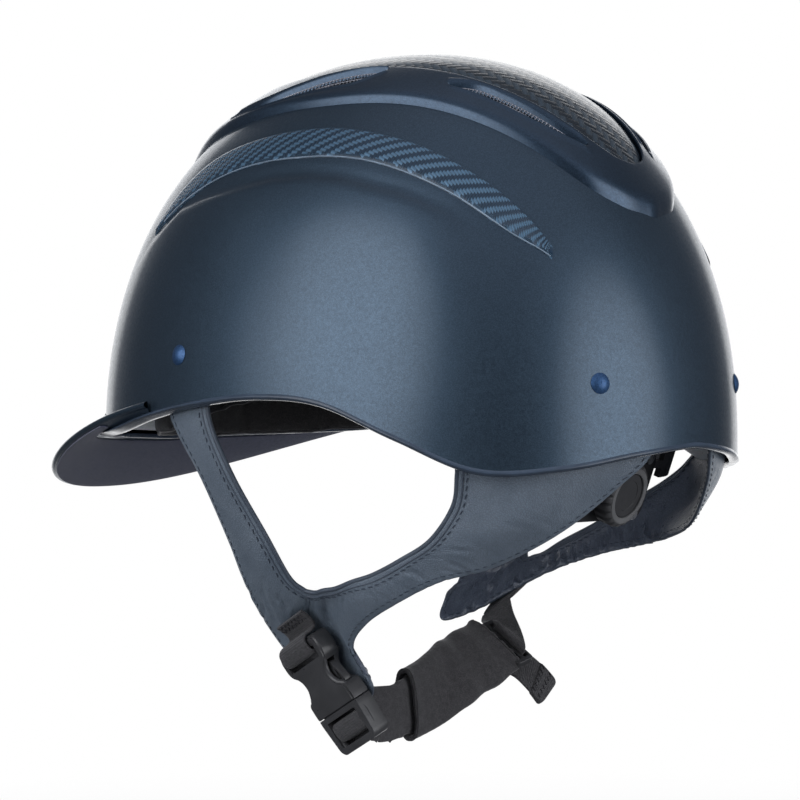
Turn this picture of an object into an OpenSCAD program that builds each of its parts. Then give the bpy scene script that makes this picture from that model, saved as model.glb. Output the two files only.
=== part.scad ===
// Riding helmet, size medium. Millimetres, +Z up, the wearer looks along -Y, and the wearer's
// left is +X. The origin is the centre of the head opening, level with the edge at the back.

/* [Shell] */
// Half width of the shell at its widest
shell_half_w = 111; // [104:1:118]
// Reach of the shell in front of the origin
shell_front = 138; // [130:1:146]
// Reach of the shell behind the origin
shell_rear = 128; // [120:1:136]
// Height of the crown above the origin
crown_h = 154; // [145:0.5:160]
// Thickness of the outer shell
shell_t = 2.5; // [2:0.1:3]
// Depth of the foam liner, from the outer face of the shell
foam_depth = 18; // [16:0.5:22]
// Height of the raised frame along the crown
frame_h = 3; // [2:0.25:4]

/* [Peak] */
// Reach of the peak in front of the origin
peak_front = 177; // [165:1:182]
// Thickness of the peak at its edge
peak_t = 2.6; // [2:0.1:4]

/* [Harness] */
// Thickness of the leather
leather_t = 2; // [1.6:0.1:2.4]
// Width of the webbing
webbing_w = 20; // [18:0.5:22]
// Thickness of the webbing
webbing_t = 1.5; // [1.2:0.1:1.8]

/* [Buckle] */
// Width of the buckle
buckle_w = 28; // [26:0.5:30]
// Thickness of the buckle
buckle_t = 9; // [9:0.5:10]

/* [Fit dial] */
// Diameter of the dial
dial_d = 27; // [24:0.5:30]
// Teeth on the pinion behind the dial
pinion_teeth = 10; // [10:1:10]

/* [Hidden] */
$fn = 48;

plan_pow = 2.15;        // squareness of the shell seen from above
side_pow = 2.17;        // squareness of the shell seen from the side
// Height of the shell's edge, every 15 degrees from the front round to the back
edge_heights = [1, 2, 3, 5, 11, 16, 18.5, 16, 3.5, -9, -8, -3, 0];
edge_step = 15;
lining_gap = 3.4;       // from the shell to the peak's lining
lining_sweep = 45;      // bearing where the peak's lining ends on each side
strap_gap = 8.6;        // depth to which the foam is cut back for the harness
harness_depth = 5;      // depth of the leather's middle inside the shell
peak_half_w = 110;
peak_sweep = 60;        // the peak runs this many degrees either side of the front
pad_t = 5.6;
pad_drop = 14;
ring_cols = 64;         // points round the shell and the strip under its edge
seat_gap = 0.35;        // clearance of what sits on the shell's faceted outer face
sleeve_gap = 0.6;       // clearance of the comfort pads from the foam

// Joint of the chin strap and place of the buckle
pull = [-26, 49, -83] / norm([-26, 49, -83]);           // the plug comes out this way
swing_axis = [13, 87, 47] / norm([13, 87, 47]);
swing_r = 128;
buckle_at = [56, -4, -98];
mouth = 7;                                              // from buckle_at to the socket's mouth
swing_arm = cross(pull, swing_axis);
swing_at = buckle_at + mouth * pull - swing_r * swing_arm;
buckle_x = [0.305, 0.865, 0.40] / norm([0.305, 0.865, 0.40]);
buckle_z = cross(pull, buckle_x);

// Fit dial: its own frame has +Z out of the dial and +Y downwards
dial_at = [0, 89.5, -17.9];
dial_tilt = 20;
gear_module = 1;
pitch_r = pinion_teeth * gear_module / 2;
pressure = 25;
backlash = 0.16;

// ---------------------------------------------------------------- curves and closed skins

function mix(a, b, k) = a + (b - a) * k;
function sum(v) = v * [for (x = v) 1];
function reversed(v) = [for (i = [len(v) - 1 : -1 : 0]) v[i]];
function unit(v) = v / norm(v);

// Smooth curve through the points of a list, u from 0 to 1
function spline4(a, b, c, d, k) =
    b + k / 2 * ((c - a) + k * ((2 * a - 5 * b + 4 * c - d) + k * (3 * (b - c) + d - a)));
function along(v, u) = let(n = len(v) - 1, i = min(floor(u * n), n - 1))
    spline4(v[max(i - 1, 0)], v[i], v[i + 1], v[min(i + 2, n)], u * n - i);
function smooth(v, steps) = [for (i = [0 : steps]) along(v, i / steps)];
function patch(rows, n, m) = [for (i = [0 : n]) smooth(along(rows, i / n), m)];

// Normal of a grid of points, and the grid moved along it
function grid_normal(g, i, j) =
    let(n = len(g) - 1, m = len(g[0]) - 1)
    unit(cross(g[min(i + 1, n)][j] - g[max(i - 1, 0)][j], g[i][min(j + 1, m)] - g[i][max(j - 1, 0)]));
function raised(g, d) = [for (i = [0 : len(g) - 1])
    [for (j = [0 : len(g[0]) - 1]) g[i][j] + d * grid_normal(g, i, j)]];

function flipped(f) = [for (t = f) [t[0], t[2], t[1]]];
function shifted(f, k) = [for (t = f) [t[0] + k, t[1] + k, t[2] + k]];
function flat(rows) = [for (r = rows) each r];
function cells(n, m, ring_rows, ring_cols) =
    [for (i = [0 : n - (ring_rows ? 1 : 2)], j = [0 : m - (ring_cols ? 1 : 2)])
        let(a = i * m + j, b = ((i + 1) % n) * m + j, c = ((i + 1) % n) * m + (j + 1) % m,
            d = i * m + (j + 1) % m)
        each [[a, b, c], [a, c, d]]];

// Closed solid from points and triangles, whichever way the triangles were wound
module closed(points, faces) {
    volume = sum([for (t = faces) points[t[0]] * cross(points[t[1]], points[t[2]])]);
    polyhedron(points, volume > 0 ? flipped(faces) : faces, convexity = 6);
}

// Solid between two grids of the same size
module skin(top, bottom) {
    n = len(top);
    m = len(top[0]);
    border = concat([for (j = [0 : m - 1]) j], [for (i = [1 : n - 1]) i * m + m - 1],
        [for (j = [m - 2 : -1 : 0]) (n - 1) * m + j], [for (i = [n - 2 : -1 : 1]) i * m]);
    sides = [for (k = [0 : len(border) - 1])
        let(a = border[k], b = border[(k + 1) % len(border)])
        each [[a, b, b + n * m], [a, b + n * m, a + n * m]]];
    top_cells = cells(n, m, false, false);
    closed(concat(flat(top), flat(bottom)), concat(top_cells, shifted(flipped(top_cells), n * m), sides));
}
module sheet(grid, t) skin(raised(grid, t / 2), raised(grid, -t / 2));

// Solid whose rows close on themselves both ways, like a ring
module hoop(rows) closed(flat(rows), cells(len(rows), len(rows[0]), true, true));

// Solid whose rows are rings, closed by a point at each end
module pod(rows, first, last) {
    n = len(rows);
    m = len(rows[0]);
    ends = [for (j = [0 : m - 1]) each [[n * m, j, (j + 1) % m],
        [n * m + 1, (n - 1) * m + (j + 1) % m, (n - 1) * m + j]]];
    closed(concat(flat(rows), [first, last]), concat(cells(n, m, false, true), ends));
}

// ---------------------------------------------------------------- the shell's surface
// t is the bearing in degrees from straight ahead, positive to the wearer's left, and off is
// the distance outside the shell's outer face.

function plan_r(t, off) =
    let(a = (cos(t) > 0 ? shell_front : shell_rear) + off, b = shell_half_w + off)
    pow(pow(abs(sin(t)) / b, plan_pow) + pow(abs(cos(t)) / a, plan_pow), -1 / plan_pow);
function dome_k(z, off) = z <= 0 ? 1 :
    pow(max(0, 1 - pow(z / (crown_h + off), side_pow)), 1 / side_pow);
function shell_pt(t, z, off) = plan_r(t, off) * dome_k(z, off) * [sin(t), -cos(t), 0] + [0, 0, z];
function dome_z(x, y, off) = (crown_h + off)
    * pow(max(0, 1 - pow(norm([x, y]) / plan_r(atan2(x, -y), off), side_pow)), 1 / side_pow);
function on_dome(p, off) = [p[0], p[1], dome_z(p[0], p[1], off)];
function shell_normal(t, z) =
    unit(cross(shell_pt(t + 0.5, z, 0) - shell_pt(t - 0.5, z, 0),
        shell_pt(t, z + 0.5, 0) - shell_pt(t, z - 0.5, 0)));
function edge_z(t) =
    let(u = abs((t + 540) % 360 - 180)) along(edge_heights, u / edge_step / (len(edge_heights) - 1));

// Rings of points from the edge towards the crown, without the crown itself
function dome_rows(n, m, off, lift) = [for (i = [0 : n - 1]) [for (j = [0 : m - 1])
    let(t = 360 * j / m, h = crown_h + off, w = mix(asin((edge_z(t) + lift) / h), 90, i / n))
    shell_pt(t, h * sin(w), off)]];

// Patch on the shell between two edges given as lists of [x, y]
function dome_patch(edge_a, edge_b, off, n, m) = [for (i = [0 : n]) [for (j = [0 : m])
    on_dome(mix(along(edge_a, i / n), along(edge_b, i / n), j / m), off)]];
function mirrored(edge) = [for (p = edge) [-p[0], p[1]]];

// ---------------------------------------------------------------- crown outlines, [x, y]

frame_edge = [[24, -106], [40, -86], [53, -64], [60, -42], [63, -15], [62, 12], [57, 40],
    [50, 64], [41, 84], [31, 98], [18, 106], [4, 109]];
inlay_edge = [[14, -88], [26, -74], [38, -52], [44, -29], [44, -5], [42, 18], [38, 41], [33, 59],
    [26, 76], [18, 90], [10, 97], [2, 99]];
front_vent_in = [[44, 14], [45, 4], [48, -10], [52, -24], [54, -40], [51, -57]];
front_vent_out = [[46, 15], [55, 6], [58, -8], [60, -24], [59, -40], [53, -58]];
rear_vent_in = [[45, 43], [39, 52], [36, 61], [33, 69], [30, 76], [26, 84], [21, 91]];
rear_vent_out = [[47, 43], [45, 50], [43, 58], [41, 65], [38, 73], [32, 83], [23, 92]];
side_inlay_top = [[74, -80], [71, -60], [73, -25], [73, 6], [72, 32], [68, 60], [63, 79], [56, 99]];
side_inlay_low = [[76, -79], [80, -52], [82, -22], [82, 9], [79, 43], [74, 67], [67, 86], [57, 100]];
shell_vents = [[front_vent_in, front_vent_out], [rear_vent_in, rear_vent_out]];
vent_steps = 8;

module vent_prism(vent, low, high)
    translate([0, 0, low]) linear_extrude(high - low)
        polygon(concat(smooth(vent[0], vent_steps), reversed(smooth(vent[1], vent_steps))));
module both_sides() {
    children();
    mirror([1, 0, 0]) children();
}

// ---------------------------------------------------------------- shell, frame and inlays

front_rivet = [68, 34];     // bearing and height of the rivets on the wearer's left
rear_rivet = [157, 23];
rivet_d = 8;
shank_d = 4;

module at_rivet(place, side) {
    t = side * place[0];
    n = shell_normal(t, place[1]);
    translate(shell_pt(t, place[1], 0)) rotate([0, acos(n[2]), atan2(n[1], n[0])]) children();
}
module at_rivets()
    for (place = [front_rivet, rear_rivet], side = [-1, 1]) at_rivet(place, side) children();

module outer_shell() {
    rows = 14;
    color("#3c506a") difference() {
        pod(concat(reversed(dome_rows(rows, ring_cols, 0, 0)), dome_rows(rows, ring_cols, -shell_t, 0)),
            [0, 0, crown_h], [0, 0, crown_h - shell_t]);
        at_rivets() cylinder(d = shank_d + 0.4, h = 12, center = true);
        both_sides() for (vent = shell_vents) vent_prism(vent, 60, 170);
    }
}

// Layer across the crown, bounded on the left by edge and on the right by its mirror image
module crown_layer(edge, low, high, bevel, n) {
    inner = [for (p = edge) [max(p[0] - bevel, 0.5), p[1]]];
    skin(dome_patch(inner, mirrored(inner), high, n, 12), dome_patch(edge, mirrored(edge), low, n, 12));
}
module centre_frame()
    color("#34465c") difference() {
        crown_layer(frame_edge, seat_gap, frame_h, 2.5, 40);
        translate([0, 0, 40]) linear_extrude(150)
            polygon(concat(smooth(inlay_edge, 24), reversed(smooth(mirrored(inlay_edge), 24))));
        both_sides() for (vent = shell_vents) vent_prism(vent, 60, 170);
    }
module top_inlay() color("#28394c") crown_layer([for (p = inlay_edge) [p[0] - 0.3, p[1]]],
    seat_gap, 1.6, 0.4, 28);

module side_inlay()
    skin(dome_patch(side_inlay_low, side_inlay_top, 0.8, 28, 3),
        dome_patch(side_inlay_low, side_inlay_top, 0.2, 28, 3));
module side_inlay_left() color("#2f5578") side_inlay();
module side_inlay_right() color("#2f5578") mirror([1, 0, 0]) side_inlay();

module vent_mesh(vent)
    skin(dome_patch(vent[0], vent[1], 0.9, vent_steps, 2), dome_patch(vent[0], vent[1], 0.1, vent_steps, 2));
module vent_mesh_front_left() color("silver") vent_mesh(shell_vents[0]);
module vent_mesh_front_right() color("silver") mirror([1, 0, 0]) vent_mesh(shell_vents[0]);
module vent_mesh_rear_left() color("silver") vent_mesh(shell_vents[1]);
module vent_mesh_rear_right() color("silver") mirror([1, 0, 0]) vent_mesh(shell_vents[1]);

// Moulded strip under the shell's edge
module rim_trim() {
    profile = [[-3.2, 0], [-3.4, -2.2], [-1.6, -3.2], [0.2, -2.8], [0.8, -1.4], [0.4, 0]];
    color("#5c6c80") hoop([for (j = [0 : ring_cols - 1]) let(t = 360 * j / ring_cols)
        [for (p = profile) shell_pt(t, edge_z(t), p[0]) + [0, 0, p[1]]]]);
}

// ---------------------------------------------------------------- peak
// s runs from the shell at 0 to the peak's edge at 1

function peak_edge_r(t) = max(plan_r(t, 1.2), 1 / norm([sin(t) / peak_half_w, cos(t) / peak_front]));
function peak_edge_z(t) = -20 + 26 * pow(abs(peak_edge_r(t) * sin(t)) / 90, 2.2);
function peak_pt(t, s, root, edge, bow) =
    let(r = mix(plan_r(t, 0.1), peak_edge_r(t), s), z = mix(edge, root, pow(1 - s, bow)))
    [r * sin(t), -r * cos(t), z];
function peak_root(t) = edge_z(t) + 1.5 + 10 * pow(max(0, cos(1.5 * t)), 1.5);
// gap is the distance that the face keeps from the shell, and sweep is the bearing where it ends
function peak_face(n, m, gap, s1, top, drop, sweep) = [for (i = [0 : n]) [for (j = [0 : m])
    let(t = mix(-sweep, sweep, i / n), s = mix(gap / (peak_edge_r(t) - plan_r(t, 0.1)), s1, j / m))
    top ? peak_pt(t, s, peak_root(t), peak_edge_z(t) + 0.6, 1.8)
        : peak_pt(t, s, edge_z(t) + 0.3, peak_edge_z(t) - peak_t + 0.6, 1.25) - [0, 0, drop]]];

module peak() color("#3c506a")
    skin(peak_face(30, 6, 0, 1, true, 0, peak_sweep), peak_face(30, 6, 0, 1, false, 0, peak_sweep));
module peak_lining()
    color("#44475e") skin(peak_face(30, 4, lining_gap, 0.93, false, 0.4, lining_sweep),
        peak_face(30, 4, lining_gap, 0.93, false, 1.2, lining_sweep));

// ---------------------------------------------------------------- foam and comfort pads

function foam_off(z) = mix(-strap_gap, -shell_t - 0.2, max(0, min(1, (z - 45) / 25)));
module foam_liner() {
    rows = 9;
    cols = 48;
    outside = [for (row = dome_rows(rows, cols, -shell_t - 0.2, 1.5)) [for (p = row)
        let(t = atan2(p[0], -p[1])) shell_pt(t, p[2], foam_off(p[2]))]];
    color("#f0f0ee") difference() {
        pod(concat(reversed(outside), dome_rows(rows, cols, -foam_depth, 8)),
            [0, 0, crown_h - shell_t - 0.2], [0, 0, crown_h - foam_depth]);
        both_sides() for (vent = shell_vents) vent_prism(vent, 60, 170);
    }
}

function band_grid(t0, t1, n, low, high, off) = [for (i = [0 : n]) [for (j = [0 : 3])
    let(t = mix(t0, t1, i / n)) shell_pt(t, edge_z(t) + mix(low, high, j / 3), off)]];
module headband_pad()
    color("#2b2b2d") sheet(band_grid(-125, 125, 44, -1, pad_drop, -foam_depth - pad_t / 2 - sleeve_gap), pad_t);
module crown_pad() {
    edge = [[16, -62], [36, -48], [46, -20], [46, 12], [36, 38], [16, 52]];
    color("#2b2b2d") crown_layer(edge, -foam_depth - pad_t, -foam_depth - 0.6, 1, 12);
}

// ---------------------------------------------------------------- fit system

module at_dial() translate(dial_at) rotate([-90 - dial_tilt, 0, 0]) children();
function dial_frame(p) = dial_at + [p[0], 0, 0] + p[1] * [0, -sin(dial_tilt), -cos(dial_tilt)]
    + p[2] * [0, cos(dial_tilt), -sin(dial_tilt)];

housing_x = 28;             // half length of the housing
housing_y = 14;             // half height of the housing
cradle_z = -10.6;
screw_at = [22, 11.8];

// Plate behind the housing, curving round the head past the housing's ends
function cradle_pt(x, y, z) = dial_frame([x, y, z - pow(max(0, abs(x) - housing_x), 2) / 60]);
function cradle_grid(x, y, z) = [for (i = [0 : 16]) [for (j = [-1, 0, 1])
    let(u = mix(-x, x, i / 16)) cradle_pt(u, j * y * (1 - 0.3 * pow(abs(u) / x, 3)), z)]];
module nape_cradle()
    color("#2a2a2c") difference() {
        sheet(cradle_grid(44, 16, cradle_z), 2);
        at_dial() screw_places() translate([0, 0, -14]) cylinder(d = 1.8, h = 8);
    }
module nape_pad() color("#2b2b2d") sheet(cradle_grid(42, 15, cradle_z - 3.3), 4);

// Two short straps that hang the cradle from the foam
module cradle_straps() {
    rows = [[[24, 86.4, -1], [36, 85.6, -0.6]], [[25, 88.5, 6], [37, 85.5, 6]], [[27, 94, 15], [39, 90, 15]],
        [[28, 96, 26], [40, 92, 26]]];
    color("#2a2a2c") both_sides() sheet(patch(rows, 9, 1), 1.4);
}

module screw_places() for (x = [-1, 1], y = [-1, 1]) translate([x * screw_at[0], y * screw_at[1], 0]) children();
module rounded_plate(x, y, r, low, high)
    translate([0, 0, low]) linear_extrude(high - low) {
        square([2 * x, 2 * (y - r)], center = true);
        square([2 * (x - r), 2 * y], center = true);
        for (i = [-1, 1], j = [-1, 1]) translate([i * (x - r), j * (y - r)]) circle(r);
    }

module dial_housing()
    color("#1f1f21") at_dial() difference() {
        rounded_plate(housing_x, housing_y, 5, -9.5, -2.2);
        translate([-25.5, -9.7, -7.5]) cube([51, 19.4, 10]);
        translate([20, 3.7, -6.6]) cube([12, 6, 10]);
        translate([-32, -9.7, -6.6]) cube([12, 6, 10]);
        translate([0, 0, -8.9]) cylinder(d = 4.3, h = 4);
        screw_places() translate([0, 0, -10]) cylinder(d = 2.2, h = 10);
    }
module housing_cover()
    color("#252527") at_dial() difference() {
        rounded_plate(housing_x, housing_y, 5, -2.2, -0.6);
        translate([0, 0, -3]) cylinder(d = 6.4, h = 4);
        screw_places() translate([0, 0, -3]) cylinder(d = 2.2, h = 4);
    }
module housing_screws()
    color("#8a8d92") at_dial() screw_places() {
        translate([0, 0, -11.4]) cylinder(d = 1.8, h = 11);
        translate([0, 0, -0.6]) cylinder(d = 4.2, h = 1.2);
    }

grips = 22;
module fit_dial()
    color("#2d2d2f") at_dial() {
        difference() {
            union() {
                translate([0, 0, 0.9]) cylinder(d = dial_d, h = 6.6);
                translate([0, 0, 7.5]) cylinder(d1 = dial_d - 1, d2 = dial_d - 4, h = 1.5);
            }
            for (i = [0 : grips - 1]) rotate(360 * i / grips)
                translate([dial_d / 2 + 0.5, 0, 0]) cylinder(d = 2.6, h = 20, center = true);
            translate([0, 0, 7.2]) cylinder(d = 18.2, h = 5);
        }
        translate([0, 0, -7]) cylinder(d = 5.6, h = 8.2);
        translate([0, 0, -8.6]) cylinder(d = 3.9, h = 2);
    }
module dial_cap() color("#3a3a3c") at_dial() translate([0, 0, 7.2]) cylinder(d = 18, h = 1);

// Involute pinion
function involute(r, a) = r * [cos(a) + a * PI / 180 * sin(a), sin(a) - a * PI / 180 * cos(a)];
function turned(p, a) = [p[0] * cos(a) - p[1] * sin(a), p[0] * sin(a) + p[1] * cos(a)];
function tooth_flank(base_r, tip_r) =
    let(last = sqrt(pow(tip_r / base_r, 2) - 1) * 180 / PI)
    [for (i = [0 : 4]) involute(base_r, last * i / 4)];
module gear_profile() {
    base_r = pitch_r * cos(pressure);
    tip_r = pitch_r + 0.8 * gear_module;
    root_r = pitch_r - 1.05 * gear_module;
    pitch_roll = tan(pressure) * 180 / PI - pressure;
    half = 90 / pinion_teeth - backlash / 2 / pitch_r * 180 / PI / 2;
    side = [for (p = tooth_flank(base_r, tip_r)) turned(p, -half - pitch_roll)];
    other = [for (p = reversed(side)) [p[0], -p[1]]];
    foot = root_r * [cos(half + pitch_roll), -sin(half + pitch_roll)];
    polygon([for (i = [0 : pinion_teeth - 1])
        each [for (p = concat([foot], side, other, [[foot[0], -foot[1]]])) turned(p, 360 * i / pinion_teeth)]]);
}
module dial_pinion()
    color("#c9c9c4") at_dial() translate([0, 0, -6.6]) difference() {
        linear_extrude(3.2) rotate(90) gear_profile();
        translate([0, 0, -1]) cylinder(d = 5.6, h = 6);
    }

// Toothed strip and the curved tail that goes round the head; drawn for the strip below the pinion
module rack_band() {
    pitch = PI * gear_module;
    half = (pitch / 2 - backlash) / 2;
    slope = tan(pressure);
    tip = pitch_r - 0.8;
    root = pitch_r + 1.05;
    back = pitch_r + 4.2;
    teeth = flat([for (k = [-4 : 4]) let(x = (k + 0.5) * pitch)
        [[x - half - 1.05 * slope, root], [x - half + 0.8 * slope, tip],
        [x + half - 0.8 * slope, tip], [x + half + 1.05 * slope, root]]]);
    strip = 41;
    tail_r = 20;
    tail_end = 3;
    translate([0, 0, -6.2]) linear_extrude(2.4)
        polygon(concat([[-15.6, back], [-15.6, root]], teeth, [[strip, root], [strip, back]]));
    translate([strip, 0, -5 - tail_r]) rotate([-90, 0, 0]) rotate([0, 0, -90])
        translate([0, 0, root - 4]) rotate_extrude(angle = 90) translate([tail_r - 0.9, 0]) square([1.8, 11]);
    translate([strip + tail_r - 0.9, root - 4, -5 - tail_r - tail_end]) cube([1.8, 11, tail_end]);
    translate([strip - 2, root - 4, -6.2]) cube([2.2, 11, 2.4]);
}
module left_rack_band() color("#3b3b3e") at_dial() rack_band();
module right_rack_band() color("#3b3b3e") at_dial() rotate([0, 0, 180]) rack_band();

// ---------------------------------------------------------------- rivets

module harness_rivets()
    color("#3c5f91") at_rivets() {
        intersection() {
            cylinder(d = rivet_d, h = 1.7);
            translate([0, 0, -4.6]) sphere(6.2);
        }
        translate([0, 0, -7.7]) cylinder(d = shank_d, h = 7.9);
    }
module rivet_washers()
    color("#9a9da2") at_rivets() translate([0, 0, -7.9]) difference() {
        cylinder(d = 9, h = 0.8);
        translate([0, 0, -1]) cylinder(d = shank_d, h = 3);
    }

// ---------------------------------------------------------------- harness
// Each side is one piece of leather round the ear: rows run from the front rivet down, round
// the ear opening and up to the rear rivet, each from the ear's edge to the outer edge.

function tab_row(t_ear, t_out, z) = [for (k = [0, 0.5, 1]) shell_pt(mix(t_ear, t_out, k), z, -harness_depth)];
front_tab = [tab_row(75, 62, 42), tab_row(75, 62, 26), tab_row(75, 63, 10)];
rear_tab = [tab_row(132, 170, -3), tab_row(136, 169, 12), tab_row(148, 166, 32)];
left_rows = concat(front_tab, [
    [[100, -20, -12], [99, -29, -13], [96, -38, -14]],
    [[90, -11, -36], [88, -23, -38], [84, -34, -39]],
    [[81, -7, -52], [78, -21, -55], [72, -34, -59]],
    [[77, -3, -57], [64, -22, -70], [54, -33, -80]],
    [[76, 0, -58], [54, -15, -76], [43, -13, -107]],
    [[76, 3, -58], [55, -8, -77], [46, 2, -105]],
    [[77, 7, -57], [59, -1, -72], [52, 12, -96]],
    [[77, 13, -56], [67, 6, -68], [58, 7, -81]],
    [[78, 22, -53], [74, 20, -61], [67, 20, -70]],
    [[78, 32, -50], [75, 34, -56], [70, 37, -61]],
    [[78, 45, -44], [74, 52, -48], [69, 57, -52]],
    [[78, 59, -36], [72, 70, -40], [60, 76, -46]],
    [[79, 70, -23], [68, 87, -29], [47, 97, -33]],
    [[82, 74, -11], [62, 100, -15], [32, 113, -16]]], rear_tab);
right_rows = concat(front_tab, [
    [[100, -20, -12], [99, -29, -13], [96, -38, -14]],
    [[91, -12, -34], [88, -24, -37], [84, -35, -40]],
    [[84, -8, -47], [80, -22, -53], [74, -34, -59]],
    [[81, -6, -51], [73, -23, -62], [64, -37, -71]],
    [[80, -4, -52], [70, -20, -66], [58, -33, -78]],
    [[80, -1, -51], [72, -12, -64], [64, -20, -73.5]],
    [[80, 4, -49.5], [76, -2, -57], [71, -5, -64.5]],
    [[80, 14, -44], [78, 14, -50], [75, 14, -55]],
    [[80, 30, -36.5], [78, 34, -42], [75, 37, -48]],
    [[80, 46, -27.5], [77, 52, -35.5], [71, 57, -44]],
    [[80, 59, -21], [73, 70, -30], [61, 77, -40]],
    [[80, 69, -15], [68, 87, -24.5], [47, 97, -33]],
    [[82, 74, -10], [62, 100, -15], [32, 113, -17]]], rear_tab);
module harness(rows, steps)
    color("#4b5a6c") difference() {
        sheet(patch(rows, steps, 5), leather_t);
        for (place = [front_rivet, rear_rivet]) at_rivet(place, 1) cylinder(d = shank_d + 0.8, h = 20, center = true);
    }
module left_harness() harness(left_rows, 57);
module right_harness() mirror([1, 0, 0]) harness(right_rows, 54);

// ---------------------------------------------------------------- buckle
// Its own frame has +Y from the mouth towards the harness and +Z away from the wearer

function buckle_frame(p) = buckle_at + p[0] * buckle_x - p[1] * pull + p[2] * buckle_z;
module at_buckle() {
    y = -pull;
    multmatrix([[buckle_x[0], y[0], buckle_z[0], buckle_at[0]], [buckle_x[1], y[1], buckle_z[1], buckle_at[1]],
        [buckle_x[2], y[2], buckle_z[2], buckle_at[2]], [0, 0, 0, 1]]) children();
}
function both_halves(side) = concat(side, [for (p = reversed(side)) [-p[0], p[1]]]);
module slab(side, low, high) translate([0, 0, low]) linear_extrude(high - low) polygon(both_halves(side));

half_w = buckle_w / 2;
half_t = buckle_t / 2;
socket_side = [[half_w - 1, -mouth], [half_w, -5], [half_w - 0.2, 0], [half_w - 4, 1.5], [half_w - 6, 5],
    [half_w - 6, 8], [half_w - 4.5, 11], [half_w - 1, 13.5], [half_w, 16], [half_w, 21], [half_w - 1.5, 23.3]];
cavity_side = [[half_w - 1.4, -mouth - 1], [half_w - 1.4, 2], [half_w - 3.6, 12.4], [0, 12.4]];

module buckle_socket()
    color("#26262a") at_buckle() difference() {
        union() {
            slab(socket_side, -half_t + 0.8, half_t - 0.5);
            slab([for (p = socket_side) [p[0] - 0.8, p[1] * 0.97]], -half_t, half_t + 0.3);
        }
        slab(cavity_side, -1.8, 3.3);
        translate([-10.8, 14.4, -10]) cube([21.6, 5, 20]);
        translate([-half_w - 1, 14, -10]) cube([buckle_w + 2, 12, 6.8]);
    }
module buckle_plug()
    color("#26262a") at_buckle() {
        difference() {
            slab([[half_w - 0.6, -7.3], [half_w, -9], [half_w - 1, -22], [half_w - 3, -24]], -half_t + 0.6, half_t - 0.4);
            translate([-10.4, -13, -10]) cube([20.8, 3.4, 20]);
            translate([-10.4, -21, -10]) cube([20.8, 4, 20]);
        }
        translate([-2.4, -8, -1.5]) cube([4.8, 17, 3]);
    }
// Sprung arm of the plug: its root, its hooked shoulder and its thumb grip
prong_side = [[6.4, -7], [9.6, -7], [9.4, -1], [12.2, 0.5], [12.3, 3], [11.4, 7], [9.6, 10.5], [7.6, 11],
    [7.4, 8], [8.6, 4], [7, 0]];
module prong(side) at_buckle() mirror([side < 0 ? 1 : 0, 0, 0]) translate([0, 0, -1.5])
    linear_extrude(3) polygon(prong_side);
module prong_front() color("#26262a") prong(-1);
module prong_rear() color("#26262a") prong(1);

// Ribbon from a list of [centre, direction of its width], w wide and t thick
function ribbon(spine, w, n) = patch([for (s = spine) [s[0] - w / 2 * unit(s[1]), s[0] + w / 2 * unit(s[1])]], n, 1);
// Rounded section, w wide and t thick, swept along the same kind of list
function section_rings(spine, w, t, n, k) = [for (i = [0 : n])
    let(u = i / n, c = along([for (s = spine) s[0]], u), x = unit(along([for (s = spine) unit(s[1])], u)),
        d = unit(along([for (s = spine) s[0]], min(1, u + 0.02)) - along([for (s = spine) s[0]], max(0, u - 0.02))),
        y = unit(cross(d, x)))
    [for (a = [0 : k - 1]) let(q = 360 * (a + 0.5) / k)
        c + w / 2 * sign(cos(q)) * pow(abs(cos(q)), 0.7) * x + t / 2 * sign(sin(q)) * pow(abs(sin(q)), 0.7) * y]];

// Webbing folded round the socket's bar and sewn to the leather
module buckle_loop() {
    spine = [for (p = [[0, 34, 3.4], [0, 29, 0.6], [0, 26, -0.6], [0, 24.8, 1], [0, 24.4, 4], [0, 22.4, 6],
        [0, 19, 5.9], [0, 17, 4], [0, 16.9, 0], [0, 17, -3.2]]) [buckle_frame(p), buckle_x]];
    color("#232327") sheet(ribbon(spine, webbing_w, 24), webbing_t);
}
module plug_webbing() {
    spine = [for (p = [[0, -13.4, -6.4], [0, -12, -4], [0, -11.6, 0], [0, -11.8, 3.6], [0, -13.2, 5.4],
        [0, -17, 5.4], [0, -18.9, 3.4], [0, -19, -2], [0, -18.6, -6.4]]) [buckle_frame(p), buckle_x]];
    color("#232327") sheet(ribbon(spine, webbing_w, 24), webbing_t);
}

// ---------------------------------------------------------------- chin strap

chin_spine = [[[44, 3, -107], [0.1, 0.25, -1]], [[30, 2, -109], [0.05, 0.1, -1]], [[14, 0, -107], [0, 0.1, -1]],
    [[0, -1, -104], [0, 0.25, -1]], [[-18, -1, -98], [-0.1, 0.5, -0.85]], [[-34, -1, -92], [-0.2, 0.65, -0.7]],
    [[-45, 0, -87.4], [-0.2, 0.75, -0.6]]];
sleeve_spine = [for (i = [2 : 6]) chin_spine[i]];
chin_w = 25;
module chin_strap_pad() {
    rings = section_rings(chin_spine, chin_w, 3.4, 20, 10);
    color("#2e2e31") pod(rings, chin_spine[0][0], chin_spine[6][0]);
}
module chin_sleeve()
    color("#39393c") hoop(concat(section_rings(sleeve_spine, 30, 9.4, 16, 14),
        reversed(section_rings(sleeve_spine, 26.6, 5, 16, 14))));

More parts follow.
